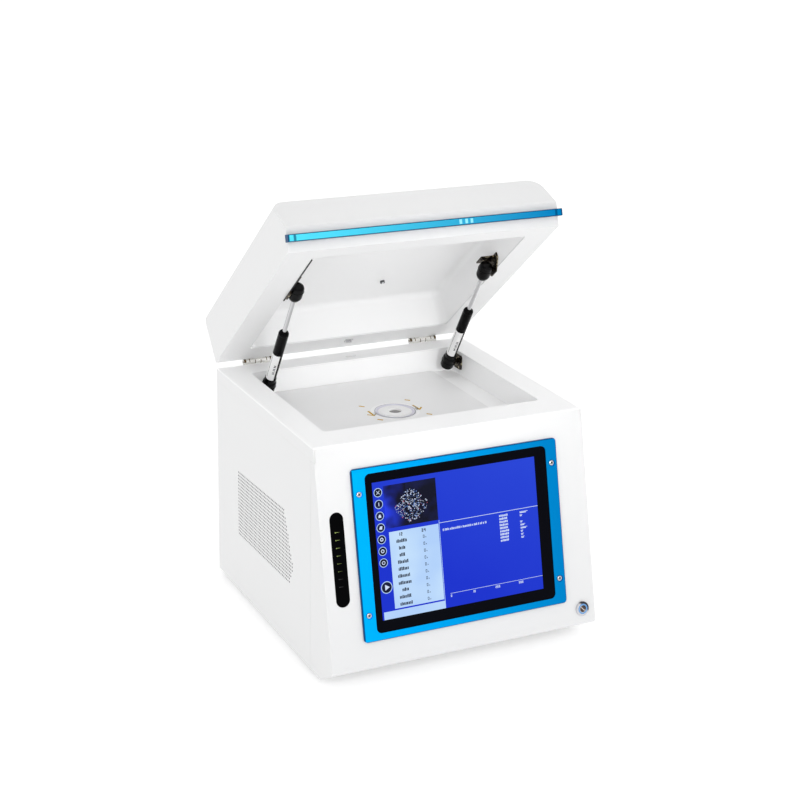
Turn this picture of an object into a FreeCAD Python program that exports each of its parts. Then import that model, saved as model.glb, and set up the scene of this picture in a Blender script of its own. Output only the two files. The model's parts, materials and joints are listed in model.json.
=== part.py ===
"""Benchtop x-ray fluorescence analyzer with a lid that two gas struts hold open.

Millimetres. X runs to the right, Y to the back and Z up. The drawing below starts at the
cabinet's back plane and the table, and every piece is moved to the origin as it is written:
the middle of the resting box, on the table.
"""
import FreeCAD
import Part

import math
import os

V = FreeCAD.Vector
X_AXIS = V(1, 0, 0)
Y_AXIS = V(0, 1, 0)
Z_AXIS = V(0, 0, 1)

# Cabinet: a folded sheet box with a leaning front.
CAB_W = 400.0
CAB_H = 316.0
DECK_DEPTH = 353.0
FASCIA_LEAN = 13.05
NOSE_H = 23.0
CHIN_RUN = 38.0
SHEET = 2.0
SKIRT_H = 19.0
SEAM_SETBACK = 6.0
SEAM_GAP = 0.4
HEM = 12.0
EDGE_R = 2.5
NOSE_R = 6.0
FOOT_H = 8.0
FOOT_D = 30.0
FOOT_INSET_X = 35.0
FOOT_INSET_Y = 30.0

# Sample chamber: a tray hung under the deck.
OPENING_SIDE = 37.0
OPENING_BACK = 39.0
OPENING_FRONT = 303.0
OPENING_R = 6.0
TRAY_WALL = 2.0
TRAY_LIP = 8.0
PLATE_DROP = 33.8
PLATE_T = 2.0
PLATE_SIDE = 32.6
PLATE_GAP = 2.0
WINDOW_Y = 182.0
WINDOW_R = 29.5
GROOVE_OUT_R = 26.7
GROOVE_IN_R = 21.9
GROOVE_DEPTH = 1.0
WINDOW_PROUD = 0.8
APERTURE_R = 8.8
FILM_R = 13.0
FILM_T = 0.3
FIT = 0.3

# Measuring head under the window.
HEAD_HALF_W = 34.0
HEAD_DEPTH = 56.0
HEAD_SHOULDER = 26.0
HEAD_H = 50.0
TUBE_BORE_R = 14.0
TUBE_BODY_R = 22.0
TUBE_LEN = 92.0
DETECTOR_BORE_R = 7.0
DETECTOR_BODY_R = 16.0
DETECTOR_LEN = 62.0
CAMERA_R = 8.0
CAMERA_BOX = 32.0
BEAM_R = 4.0
BORE_FIT = 0.05
FIN_COUNT = 6
FIN_T = 4.0
FIN_DEPTH = 5.0

# Boxes on the base pan: width, depth and height, then the gap to the cabinet's side.
SUPPLY_BOX = (90.0, 120.0, 62.0)
SUPPLY_SIDE = 30.0
SUPPLY_Y = -190.0
SUPPLY_EAR = 12.0
PSU_BOX = (96.0, 170.0, 48.0)
PSU_SIDE = 34.0
PSU_Y = -150.0
PSU_EAR = 10.0
EAR_INSET = 20.0
BOARD_GAP = 15.0
BOARD_DEPTH = 180.0
BOARD_T = 1.6
BOARD_Y = -215.0
SINK = 44.0
SINK_FINS = 5
PLUG_DEPTH = 12.0
PLUG_LEN = 24.0
PLUG_STEP = 34.0
STANDOFF_H = 8.0
STANDOFF_R = 3.5
INTAKE_STEP = 20.0
INTAKE_W = 8.0
INTAKE_LEN = 70.0

# Back of the cabinet.
FAN_SIZE = 80.0
FAN_T = 25.0
FAN_SIDE = 105.0
FAN_Z = 190.0
FAN_BORE_R = 38.0
FAN_BLADES = 7
HUB_R = 15.0
TIP_GAP = 1.5
SHAFT_R = 3.0
SHAFT_FIT = 0.06
SOCKETS_Z = 62.0
INLET_SIDE = 80.0
INLET_W = 27.0
INLET_H = 20.0
ROCKER_SIDE = 130.0
ROCKER_W = 13.0
ROCKER_H = 25.0
ROCKER_TILT = 10.0
PORTS_X = -30.0
PORTS_W = 90.0
PORTS_H = 20.0
PORTS_DEPTH = 18.0
PORT_WELL = 13.0
PORT_W = 14.0
PORT_STEP = 20.0
LOUVRE_SIDE = 60.0
LOUVRE_W = 80.0
LOUVRE_STEP = 16.0
LOUVRE_H = 5.0

# Side vents: square holes inside a leaning outline, given as (back from the rear, height).
VENT_PITCH = 12.5
VENT_HOLE = 5.0
VENT_OUTLINE = [(84.0, 193.0), (256.0, 201.0), (290.0, 127.0), (275.0, 103.0), (86.0, 98.0)]

# Display, measured in from the cabinet's sides and down the leaning front from its top edge.
BEZEL_LEFT = 48.35
BEZEL_RIGHT = 45.15
BEZEL_TOP = 34.8
BEZEL_FOOT = 35.4
FRAME_LEFT = 18.7
FRAME_RIGHT = 17.7
FRAME_TOP = 8.7
FRAME_FOOT = 9.9
BEZEL_R = 5.0
BEZEL_PROUD = 4.0
GLASS_R = 7.0
GLASS_T = 3.0
GLASS_SEAT = 6.0
DISPLAY_T = 10.0
BEZEL_SCREW_TOP = 33.8
BEZEL_SCREW_FOOT = 35.6
BEZEL_SCREW_D = 7.5
BEZEL_SCREW_POCKET = 9.5
BEZEL_SCREW_HEAD = 2.0

# Power button and indicator slot on the same front.
BUTTON_SIDE = 20.3
BUTTON_UP = 21.57
BUTTON_HEAD_R = 10.0
BUTTON_PROUD = 3.0
BUTTON_BARREL_R = 8.0
BUTTON_BARREL_L = 24.0
BUTTON_NUT_R = 10.5
BUTTON_NUT_T = 4.0
BUTTON_CAP_R = 4.5
BUTTON_TRAVEL = 1.2
LIGHT_RING_IN = 5.2
LIGHT_RING_OUT = 7.2
SLOT_SIDE = 24.2
SLOT_TOP = 87.3
SLOT_LEN = 125.8
SLOT_W = 19.6
LENS_T = 3.0
LED_FIRST = 26.2
LED_PITCH = 10.3
LED_COUNT = 8
STRIP_W = 10.0
STRIP_T = 1.6
LED_H = 2.0
LED_W = 5.0
LED_L = 3.0

# Lid, drawn closed and then turned up about the hinge line.
LID_H = 80.9
LID_FLAT = 342.9
LID_REACH = 372.6
LID_FOOT = 359.5
LID_BREAK = 30.4
LID_BACK = 0.7
RIM_GAP = 4.5
LID_SIDE_R = 18.0
LID_OPEN = 40.0
RECESS_SIDE = 41.0
RECESS_BACK = 40.0
RECESS_FRONT = 336.0
RECESS_DEPTH = 55.0
RECESS_R = 12.0
MOUTH_R = 4.0
LINER_WALL = 1.5
LINER_LIP = 10.0
LAMP_X = 43.7
LAMP_BACK = 104.4
LAMP_R = 3.5
BAR_OVER = 2.0
BAR_DROP = 9.5
BAR_SIZE = 10.0
BAR_R = 1.5
BAR_LIGHTS = (45.5, 54.3, 62.2)
BAR_LIGHT_W = 3.8

# Interlock: a tongue on the lid rim drops through a slot in the deck.
TONGUE_X = 2.0
TONGUE_BACK = 25.0
TONGUE_W = 8.0
TONGUE_T = 1.6
TONGUE_L = 4.0
DECK_SLOT_W = 17.0
DECK_SLOT_T = 4.6
SWITCH_DEPTH = 12.0
SWITCH_H = 22.0

# Butt hinges on the back faces.
HINGE_SIDE = 65.0
HINGE_LEN = 44.0
HINGE_BACK = 5.0
HINGE_UP = 2.0
BARREL_R = 4.0
HINGE_PIN_R = 2.0
LEAF_T = 2.0
LEAF_H = 30.0
KNUCKLE_GAP = 0.3
PIN_FIT = 0.06

# Gas struts, one each side.
STRUT_SIDE = 55.0
STRUT_BACK = 63.4
STRUT_DROP = 14.1
UPPER_PIVOT_BACK = 224.8
UPPER_PIVOT_UP = 3.3
SOCKET_R = 8.5
SOCKET_TAIL = 9.0
LOWER_SOCKET = 19.0
UPPER_SOCKET = 13.0
CYLINDER_R = 7.5
CYLINDER_BORE = 6.3
CYLINDER_LEN = 95.5
CYLINDER_END = 4.0
GLAND_T = 6.0
ROD_R = 3.0
PISTON_T = 8.0
PISTON_STOP = 3.0
ROD_FIT = 0.06
BALL_R = 5.0
BALL_FIT = 0.1
STUD_R = 2.8
BRACKET_T = 2.0
BRACKET_W = 22.0
PIVOT_GAP = 0.3

# Lengths that follow from the ones above.
HALF_W = CAB_W / 2
INNER_HALF = HALF_W - SHEET
OPENING_HALF = HALF_W - OPENING_SIDE
PLATE_HALF = OPENING_HALF - PLATE_SIDE
SUPPLY_AT = (SUPPLY_SIDE + SUPPLY_BOX[0] / 2 - HALF_W, SUPPLY_Y)
PSU_AT = (HALF_W - PSU_SIDE - PSU_BOX[0] / 2, PSU_Y)
BOARD_LEFT = SUPPLY_AT[0] + SUPPLY_BOX[0] / 2 + BOARD_GAP
BOARD_W = PSU_AT[0] - PSU_BOX[0] / 2 - BOARD_GAP - BOARD_LEFT
BOARD_AT = (BOARD_LEFT + BOARD_W / 2, BOARD_Y)
FAN_AT = (FAN_SIDE - HALF_W, FAN_Z)
INLET_AT = (HALF_W - INLET_SIDE, SOCKETS_Z)
ROCKER_AT = (HALF_W - ROCKER_SIDE, SOCKETS_Z)
PORTS_AT = (PORTS_X, SOCKETS_Z)
LEAN_TAN = math.tan(math.radians(FASCIA_LEAN))
LEAN_COS = math.cos(math.radians(FASCIA_LEAN))
FRONT_LEN = (CAB_H - NOSE_H) / LEAN_COS
BUTTON_DOWN = FRONT_LEN - BUTTON_UP
BEZEL_H = FRONT_LEN - BEZEL_TOP - BEZEL_FOOT
BEZEL_W = CAB_W - BEZEL_LEFT - BEZEL_RIGHT
BEZEL_X = (BEZEL_LEFT - BEZEL_RIGHT) / 2
GLASS_W = BEZEL_W - FRAME_LEFT - FRAME_RIGHT
GLASS_X = BEZEL_X + (FRAME_LEFT - FRAME_RIGHT) / 2
GLASS_TOP = BEZEL_TOP + FRAME_TOP
GLASS_H = BEZEL_H - FRAME_TOP - FRAME_FOOT
BUTTON_X = HALF_W - BUTTON_SIDE
SLOT_X = SLOT_SIDE - HALF_W
LID_W = CAB_W
RECESS_HALF = HALF_W - RECESS_SIDE
BAR_LEN = CAB_W + 2 * BAR_OVER
HINGE_X = HALF_W - HINGE_SIDE
STRUT_X = HALF_W - STRUT_SIDE
DECK_Z = FOOT_H + CAB_H
DECK_UNDER = DECK_Z - SHEET
NOSE_Z = FOOT_H + NOSE_H
NOSE_Y = -DECK_DEPTH - (CAB_H - NOSE_H) * LEAN_TAN
CHIN_Y = NOSE_Y + CHIN_RUN
SEAM_Y = -DECK_DEPTH + SEAM_SETBACK
SKIRT_Z = DECK_Z - SKIRT_H
PANEL_TOP = SKIRT_Z - SEAM_GAP
PAN_TOP = FOOT_H + SHEET
PLATE_Z = DECK_Z - PLATE_DROP
FLOOR_Z = PLATE_Z - PLATE_T
FLOOR_UNDER = FLOOR_Z - TRAY_WALL
RIM_Z = DECK_Z + RIM_GAP
HINGE_Z = DECK_Z + HINGE_UP
LOWER_PIVOT = V(0, -STRUT_BACK, DECK_Z - STRUT_DROP)

HINGE_LINE = V(0, HINGE_BACK, HINGE_Z)
LID_UP = FreeCAD.Placement(V(0, 0, 0), FreeCAD.Rotation(X_AXIS, -LID_OPEN), HINGE_LINE)
ON_FRONT = FreeCAD.Placement(
    V(0, -DECK_DEPTH, DECK_Z), FreeCAD.Rotation(X_AXIS, 90 - FASCIA_LEAN))

CLOSED_PIVOT = V(0, LID_BACK - UPPER_PIVOT_BACK, RIM_Z + UPPER_PIVOT_UP)
UPPER_PIVOT = LID_UP.multVec(CLOSED_PIVOT)
STRUT_OPEN = (UPPER_PIVOT - LOWER_PIVOT).Length
STRUT_CLOSED = (CLOSED_PIVOT - LOWER_PIVOT).Length
STRUT_TURN = math.degrees(math.atan2(
    LOWER_PIVOT.y - UPPER_PIVOT.y, UPPER_PIVOT.z - LOWER_PIVOT.z))
ALONG_STRUT = FreeCAD.Placement(LOWER_PIVOT, FreeCAD.Rotation(X_AXIS, STRUT_TURN))

# The resting box runs from the nose or the button to the top back corner of the open lid.
BUTTON_FACE = ON_FRONT.multVec(V(BUTTON_X, -BUTTON_DOWN - BUTTON_HEAD_R, BUTTON_PROUD))
FRONT_Y = min(NOSE_Y, BUTTON_FACE.y)
BACK_Y = LID_UP.multVec(V(0, LID_BACK, RIM_Z + LID_H)).y
TO_ORIGIN = FreeCAD.Placement(V(0, -(FRONT_Y + BACK_Y) / 2, 0), FreeCAD.Rotation())


def put(shape, placement):
    """A copy of the shape carried along by a placement."""
    moved = shape.copy()
    moved.Placement = placement.multiply(moved.Placement)
    return moved


def save(node, *shapes):
    """Write the node's solids, moved to the part's origin."""
    solids = [put(shape, TO_ORIGIN) for shape in shapes]
    whole = solids[0] if len(solids) == 1 else Part.makeCompound(solids)
    whole.exportStep("parts/" + node + ".step")


def box(x0, x1, y0, y1, z0, z1):
    """A box between two corners."""
    return Part.makeBox(x1 - x0, y1 - y0, z1 - z0, V(x0, y0, z0))


def ball(radius, x, y, z):
    """A ball about the line across the object, in five bands, as its socket turns only that way."""
    angles = [math.radians(a) for a in (-90, -54, -18, 18, 54, 90)]
    outline = [(radius * math.cos(a), radius * math.sin(a)) for a in angles]
    outline[0] = (0, -radius)
    outline[-1] = (0, radius)
    return turned(outline, V(x, y, z), X_AXIS)


def centred(x, y, width, depth, z0, z1):
    """A box about a point in plan."""
    return box(x - width / 2, x + width / 2, y - depth / 2, y + depth / 2, z0, z1)


def edges_where(shape, test):
    """The edges whose two ends and middle all pass a test."""
    found = []
    for edge in shape.Edges:
        points = [vertex.Point for vertex in edge.Vertexes]
        points.append(edge.CenterOfMass)
        if all(test(point) for point in points):
            found.append(edge)
    return found


def near(value, target):
    """Whether two lengths are the same to a hundredth."""
    return abs(value - target) < 0.01


def rounded(x0, x1, y0, y1, z0, z1, radius):
    """A plate or block with its four upright edges rounded."""
    block = box(x0, x1, y0, y1, z0, z1)
    upright = [edge for edge in block.Edges if near(edge.Length, z1 - z0)
               and near(edge.Vertexes[0].X, edge.Vertexes[1].X)
               and near(edge.Vertexes[0].Y, edge.Vertexes[1].Y)]
    return block.makeFillet(radius, upright)


def capsule(x, y0, y1, width, z0, z1):
    """A slot shape that runs along Y with round ends."""
    half = width / 2
    middle = box(x - half, x + half, y0 + half, y1 - half, z0, z1)
    ends = [Part.makeCylinder(half, z1 - z0, V(x, y, z0)) for y in (y0 + half, y1 - half)]
    return middle.fuse(ends).removeSplitter()


def along_x(outline, x0, x1):
    """A closed (y, z) outline drawn out across the object."""
    corners = [V(x0, y, z) for y, z in outline]
    return Part.Face(Part.makePolygon(corners + corners[:1])).extrude(V(x1 - x0, 0, 0))


def along_y(outline, y0, y1):
    """A closed (x, z) outline drawn out from front to back."""
    corners = [V(x, y0, z) for x, z in outline]
    return Part.Face(Part.makePolygon(corners + corners[:1])).extrude(V(0, y1 - y0, 0))


def turned(outline, base, direction):
    """A (radius, height) outline turned about a line through base."""
    corners = [V(radius, 0, height) for radius, height in outline]
    face = Part.Face(Part.makePolygon(corners + corners[:1]))
    solid = face.revolve(V(0, 0, 0), Z_AXIS, 360)
    return put(solid, FreeCAD.Placement(base, FreeCAD.Rotation(Z_AXIS, direction)))


def inset(outline, amount):
    """The outline with every side moved inwards by the same amount; corners run clockwise."""
    moved = []
    count = len(outline)
    for i in range(count):
        (ax, ay), (bx, by), (cx, cy) = outline[i - 1], outline[i], outline[(i + 1) % count]
        first = (bx - ax, by - ay)
        second = (cx - bx, cy - by)
        len1 = math.hypot(*first)
        len2 = math.hypot(*second)
        normal1 = (first[1] / len1, -first[0] / len1)
        normal2 = (second[1] / len2, -second[0] / len2)
        blend = 1 + normal1[0] * normal2[0] + normal1[1] * normal2[1]
        moved.append((bx + amount * (normal1[0] + normal2[0]) / blend,
                      by + amount * (normal1[1] + normal2[1]) / blend))
    return moved


def mirrored(shape):
    """The shape's twin on the other side of the middle plane."""
    return shape.mirror(V(0, 0, 0), X_AXIS)


def inside(point, outline):
    """Whether a point lies inside a closed outline."""
    x, y = point
    hit = False
    for i, (bx, by) in enumerate(outline):
        ax, ay = outline[i - 1]
        if (ay > y) != (by > y) and x < (bx - ax) * (y - ay) / (by - ay) + ax:
            hit = not hit
    return hit


def front_y(z):
    """Where the leaning front stands at a height."""
    return -DECK_DEPTH - (DECK_Z - z) * LEAN_TAN


def top_deck():
    """The lid side of the box: a pan with skirts, the chamber opening and the tongue slot."""
    side = [(0, DECK_Z), (0, SKIRT_Z), (front_y(SKIRT_Z), SKIRT_Z), (-DECK_DEPTH, DECK_Z)]
    block = along_x(side, -HALF_W, HALF_W)
    crown = edges_where(block, lambda p: near(p.z, DECK_Z) and (near(abs(p.x), HALF_W) or near(p.y, 0)))
    block = block.makeFillet(EDGE_R, crown)
    hollow = box(-INNER_HALF, INNER_HALF, front_y(SKIRT_Z) - SHEET, -SHEET, SKIRT_Z - SHEET, DECK_UNDER)
    opening = rounded(-OPENING_HALF, OPENING_HALF, -OPENING_FRONT, -OPENING_BACK,
                      DECK_UNDER - SHEET, DECK_Z + SHEET, OPENING_R)
    slot = centred(TONGUE_X, LID_BACK - TONGUE_BACK, DECK_SLOT_W, DECK_SLOT_T,
                   DECK_UNDER - SHEET, DECK_Z + SHEET)
    return block.cut([hollow, opening, slot])


def front_fascia():
    """Leaning front, nose, chin and two cheeks, folded from one sheet."""
    side = [(SEAM_Y - SEAM_GAP, FOOT_H), (CHIN_Y, FOOT_H), (NOSE_Y, NOSE_Z),
            (front_y(DECK_UNDER), DECK_UNDER), (SEAM_Y - SEAM_GAP, DECK_UNDER)]
    block = along_x(side, -HALF_W, HALF_W)
    folds = edges_where(block, lambda p: near(p.y, NOSE_Y) or (near(p.y, CHIN_Y) and near(p.z, FOOT_H)))
    folds = [edge for edge in folds if near(edge.Length, CAB_W)]
    block = block.makeFillet(NOSE_R, folds)
    room = inset(side, SHEET)
    room[0] = (SEAM_Y + SHEET, room[0][1])
    room[3] = (front_y(DECK_UNDER + SHEET) + SHEET / LEAN_COS, DECK_UNDER + SHEET)
    room[4] = (SEAM_Y + SHEET, DECK_UNDER + SHEET)
    hollow = along_x(room, -INNER_HALF, INNER_HALF)
    bends = [edge for edge in hollow.Edges if near(edge.Length, 2 * INNER_HALF)
             and edge.CenterOfMass.y < CHIN_Y + SHEET and edge.CenterOfMass.z < NOSE_Z + 2 * SHEET]
    hollow = hollow.makeFillet(NOSE_R - SHEET, bends)
    notch = box(INNER_HALF - SEAM_GAP, HALF_W + SHEET, NOSE_Y, SEAM_Y, PANEL_TOP, DECK_Z)
    back = front_y(DECK_UNDER) + SHEET / 2
    lip = box(-INNER_HALF + HEM, INNER_HALF - HEM, back, back + HEM, DECK_UNDER - SHEET, DECK_UNDER)
    shell = block.cut([hollow, notch, mirrored(notch)]).fuse(lip)
    window = rounded(
        GLASS_X - GLASS_W / 2 + GLASS_SEAT, GLASS_X + GLASS_W / 2 - GLASS_SEAT,
        -GLASS_TOP - GLASS_H + GLASS_SEAT, -GLASS_TOP - GLASS_SEAT, -2 * SHEET, SHEET, GLASS_R)
    button = Part.makeCylinder(BUTTON_BARREL_R + FIT, 4 * SHEET, V(BUTTON_X, -BUTTON_DOWN, -2 * SHEET))
    slot = capsule(SLOT_X, -SLOT_TOP - SLOT_LEN, -SLOT_TOP, SLOT_W, -2 * SHEET, SHEET)
    holes = [window, button, slot]
    for x, y in bezel_screws():
        holes.append(Part.makeCylinder(BEZEL_SCREW_D / 4 + FIT, 4 * SHEET, V(x, y, -2 * SHEET)))
    return shell.cut([put(hole, ON_FRONT) for hole in holes]).removeSplitter()


def side_panel():
    """The right-hand side: a flat sheet with hems and a field of square vents."""
    sheet = box(INNER_HALF, HALF_W, SEAM_Y, 0, FOOT_H, PANEL_TOP)
    inner = INNER_HALF - SHEET
    reach = HEM - SEAM_SETBACK + SHEET / LEAN_COS + FIT
    strap_top = min(DECK_Z - reach / LEAN_TAN, PANEL_TOP - HEM)
    strap = box(inner, INNER_HALF, SEAM_Y - HEM, SEAM_Y + HEM, PAN_TOP + SHEET, strap_top)
    ledge = box(inner, INNER_HALF, SEAM_Y, -SHEET, PANEL_TOP - HEM, DECK_UNDER)
    foot_hem = box(INNER_HALF - HEM, INNER_HALF, SEAM_Y, -SHEET, PAN_TOP, PAN_TOP + SHEET)
    back_hem = box(INNER_HALF - HEM, INNER_HALF, -2 * SHEET, -SHEET, PAN_TOP, PANEL_TOP)
    panel = sheet.fuse([strap, ledge, foot_hem, back_hem])
    outline = [(-back, height) for back, height in VENT_OUTLINE]
    margin = VENT_HOLE / 2
    low_y = min(y for y, z in outline)
    low_z = min(z for y, z in outline)
    columns = int((max(y for y, z in outline) - low_y) / VENT_PITCH)
    rows = int((max(z for y, z in outline) - low_z) / VENT_PITCH)
    holes = []
    for row in range(rows + 1):
        for column in range(columns + 1):
            y = low_y + (column + 0.5) * VENT_PITCH
            z = low_z + (row + 0.5) * VENT_PITCH
            ends = [(y + a * margin, z + b * margin) for a in (-1, 1) for b in (-1, 1)]
            if all(inside(end, outline) for end in ends):
                holes.append(box(INNER_HALF - SHEET, HALF_W + SHEET, y - margin, y + margin,
                                 z - margin, z + margin))
    return panel.cut(holes).removeSplitter()


def foot_places():
    """Plan positions of the four feet."""
    x = HALF_W - FOOT_INSET_X
    return [(a * x, y) for a in (-1, 1) for y in (-FOOT_INSET_Y, SEAM_Y + FOOT_INSET_Y)]


def base_pan():
    """The bottom sheet with its back hem, intake slots and board standoffs."""
    reach = INNER_HALF - FIT
    pan = box(-reach, reach, SEAM_Y, 0, FOOT_H, PAN_TOP)
    side = INNER_HALF - 2 * HEM
    hem = box(-side, side, -2 * SHEET, -SHEET, PAN_TOP, PAN_TOP + HEM)
    posts = []
    x0, y0 = BOARD_AT
    for a in (-1, 1):
        for b in (-1, 1):
            spot = V(x0 + a * (BOARD_W / 2 - 2 * STANDOFF_R),
                     y0 + b * (BOARD_DEPTH / 2 - 2 * STANDOFF_R), PAN_TOP)
            posts.append(Part.makeCylinder(STANDOFF_R, STANDOFF_H, spot))
    slots = [centred(x0 + i * INTAKE_STEP, y0, INTAKE_W, INTAKE_LEN, FOOT_H - SHEET, PAN_TOP + SHEET)
             for i in range(-2, 3)]
    return pan.fuse([hem] + posts).cut(slots).removeSplitter()


def feet():
    """Four rubber feet, each with a recess for its screw."""
    wide = FOOT_D / 2
    outline = [(wide * 0.3, 0), (wide * 0.85, 0), (wide, FOOT_H), (0, FOOT_H), (0, FOOT_H / 2),
               (wide * 0.3, FOOT_H / 2)]
    return [turned(outline, V(x, y, 0), Z_AXIS) for x, y in foot_places()]


def rear_panel():
    """The back sheet, cut for the fan, the inlet, the switch, the ports and the warm air."""
    reach = INNER_HALF - FIT
    panel = box(-reach, reach, -SHEET, 0, PAN_TOP, PANEL_TOP)
    cuts = [Part.makeCylinder(FAN_BORE_R, 4 * SHEET, V(FAN_AT[0], -3 * SHEET, FAN_AT[1]), Y_AXIS)]
    cuts.append(centred(INLET_AT[0], 0, INLET_W + 2 * FIT, 20, INLET_AT[1] - INLET_H / 2 - FIT,
                        INLET_AT[1] + INLET_H / 2 + FIT))
    cuts.append(centred(ROCKER_AT[0], 0, ROCKER_W + 4 + 2 * FIT, 20, ROCKER_AT[1] - ROCKER_H / 2 - 4 - FIT,
                        ROCKER_AT[1] + ROCKER_H / 2 + 4 + FIT))
    cuts.append(centred(PORTS_AT[0], 0, PORTS_W, 20, PORTS_AT[1] - PORTS_H / 2, PORTS_AT[1] + PORTS_H / 2))
    right = HALF_W - LOUVRE_SIDE
    for i in range(6):
        z = FAN_Z - FAN_SIZE / 2 + i * LOUVRE_STEP
        cuts.append(box(right - LOUVRE_W, right, -3 * SHEET, SHEET, z, z + LOUVRE_H))
    return panel.cut(cuts)


def chamber_liner():
    """A pressed tray with a lip under the deck and a port for the beam."""
    wall = TRAY_WALL
    outer = rounded(-OPENING_HALF - wall, OPENING_HALF + wall, -OPENING_FRONT - wall,
                    -OPENING_BACK + wall, FLOOR_UNDER, DECK_UNDER, OPENING_R + wall)
    inner = rounded(-OPENING_HALF, OPENING_HALF, -OPENING_FRONT, -OPENING_BACK,
                    FLOOR_Z, DECK_Z, OPENING_R)
    lip = rounded(-OPENING_HALF - TRAY_LIP, OPENING_HALF + TRAY_LIP, -OPENING_FRONT - TRAY_LIP,
                  -OPENING_BACK + TRAY_LIP, DECK_UNDER - TRAY_WALL, DECK_UNDER, OPENING_R + TRAY_LIP)
    port = Part.makeCylinder(FILM_R - 2, 4 * wall, V(0, -WINDOW_Y, FLOOR_Z - 3 * wall))
    return outer.fuse(lip).cut([inner, port]).removeSplitter()


def sample_plate():
    """The glossy grey plate on the tray's floor, with a round seat for the window."""
    plate = rounded(-PLATE_HALF, PLATE_HALF, -OPENING_FRONT + PLATE_GAP, -OPENING_BACK - PLATE_GAP,
                    FLOOR_Z, PLATE_Z, OPENING_R)
    seat = Part.makeCylinder(WINDOW_R + FIT, 4 * PLATE_T, V(0, -WINDOW_Y, FLOOR_Z - PLATE_T))
    return plate.cut(seat)


def window_ring():
    """The turned disc round the measuring aperture, with a ring groove."""
    top = PLATE_T + WINDOW_PROUD
    low = top - GROOVE_DEPTH
    outline = [(FILM_R + FIT, 0), (WINDOW_R, 0), (WINDOW_R, top - 0.5), (WINDOW_R - 0.5, top),
               (GROOVE_OUT_R, top), (GROOVE_OUT_R, low), (GROOVE_IN_R, low), (GROOVE_IN_R, top),
               (APERTURE_R + 1, top), (APERTURE_R, top - 1), (APERTURE_R, FILM_T), (FILM_R + FIT, FILM_T)]
    return turned(outline, V(0, -WINDOW_Y, FLOOR_Z), Z_AXIS)


FOCUS = V(0, -WINDOW_Y, FLOOR_UNDER)
TUBE_WAY = V(-1, 0, -1).normalize()
DETECTOR_WAY = V(1, 0, -1).normalize()
HEAD_SEAT = (HEAD_HALF_W + 2 * HEAD_SHOULDER) * math.sqrt(0.5)


def measuring_head():
    """The saddle block that aims the tube and the detector at the window."""
    wide = HEAD_HALF_W + HEAD_SHOULDER
    narrow = wide + HEAD_SHOULDER - HEAD_H
    half = [(HEAD_HALF_W, 0), (wide, -HEAD_SHOULDER), (narrow, -HEAD_H)]
    outline = half + [(-x, z) for x, z in reversed(half)]
    outline = [(x, FLOOR_UNDER + z) for x, z in outline]
    block = along_y(outline, -WINDOW_Y - HEAD_DEPTH / 2, -WINDOW_Y + HEAD_DEPTH / 2)
    bores = [
        Part.makeCylinder(TUBE_BORE_R, 2 * HEAD_SEAT, FOCUS + TUBE_WAY * (HEAD_SEAT / 2), TUBE_WAY),
        Part.makeCylinder(DETECTOR_BORE_R, 2 * HEAD_SEAT, FOCUS + DETECTOR_WAY * (HEAD_SEAT / 2), DETECTOR_WAY),
        Part.makeCylinder(BEAM_R, HEAD_SEAT, FOCUS, TUBE_WAY),
        Part.makeCylinder(BEAM_R, HEAD_SEAT, FOCUS, DETECTOR_WAY),
        Part.makeCylinder(CAMERA_R, 2 * HEAD_H, FOCUS - Z_AXIS * (HEAD_H / 2), -Z_AXIS),
        Part.makeCone(FILM_R - 2, DETECTOR_BORE_R, HEAD_H, FOCUS, -Z_AXIS)]
    return block.cut(bores)


def xray_tube():
    """Nose in the head's bore, square finned body outside it and a cable gland at the end."""
    nose = TUBE_BORE_R - BORE_FIT
    gland = nose * 0.65
    end = HEAD_SEAT + TUBE_LEN
    body_end = end - gland
    outline = [(0, HEAD_SEAT - 2 * nose), (nose / 2, HEAD_SEAT - 2 * nose), (nose, HEAD_SEAT - 1.5 * nose),
               (nose, HEAD_SEAT), (gland, HEAD_SEAT), (gland, end), (0, end)]
    stem = turned(outline, V(0, 0, 0), Z_AXIS)
    half = TUBE_BODY_R
    case = box(-half, half, -half, half, HEAD_SEAT, body_end)
    grooves = []
    step = (body_end - HEAD_SEAT) / FIN_COUNT
    for i in range(1, FIN_COUNT):
        z = HEAD_SEAT + i * step
        groove = box(-2 * half, FIN_DEPTH - half, -2 * half, 2 * half, z, z + step - FIN_T)
        grooves += [groove, mirrored(groove)]
    aim = FreeCAD.Placement(FOCUS, FreeCAD.Rotation(Z_AXIS, TUBE_WAY))
    return put(case.cut(grooves).fuse(stem).removeSplitter(), aim)


def detector():
    """Cooled detector: a slim nose in its bore and a square preamplifier box behind."""
    nose = DETECTOR_BORE_R - BORE_FIT
    inner = HEAD_SEAT / 2 + 6
    outline = [(0, inner), (nose, inner), (nose, HEAD_SEAT), (DETECTOR_BODY_R, HEAD_SEAT),
               (DETECTOR_BODY_R, HEAD_SEAT + 10), (0, HEAD_SEAT + 10)]
    stem = turned(outline, V(0, 0, 0), Z_AXIS)
    half = DETECTOR_BODY_R
    case = rounded(-half, half, -half, half, HEAD_SEAT + 10, HEAD_SEAT + DETECTOR_LEN, 3)
    aim = FreeCAD.Placement(FOCUS, FreeCAD.Rotation(Z_AXIS, DETECTOR_WAY))
    return put(stem.fuse(case), aim)


def sample_camera():
    """Lens barrel up the head's middle bore with a square camera below."""
    top = FLOOR_UNDER - HEAD_H * 0.75
    seat = FLOOR_UNDER - HEAD_H
    barrel = Part.makeCylinder(CAMERA_R - BORE_FIT, top - seat, V(0, -WINDOW_Y, seat))
    half = CAMERA_BOX / 2
    body = rounded(-half, half, -WINDOW_Y - half, -WINDOW_Y + half, seat - CAMERA_BOX * 0.7, seat, 2)
    return barrel.fuse(body)


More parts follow.
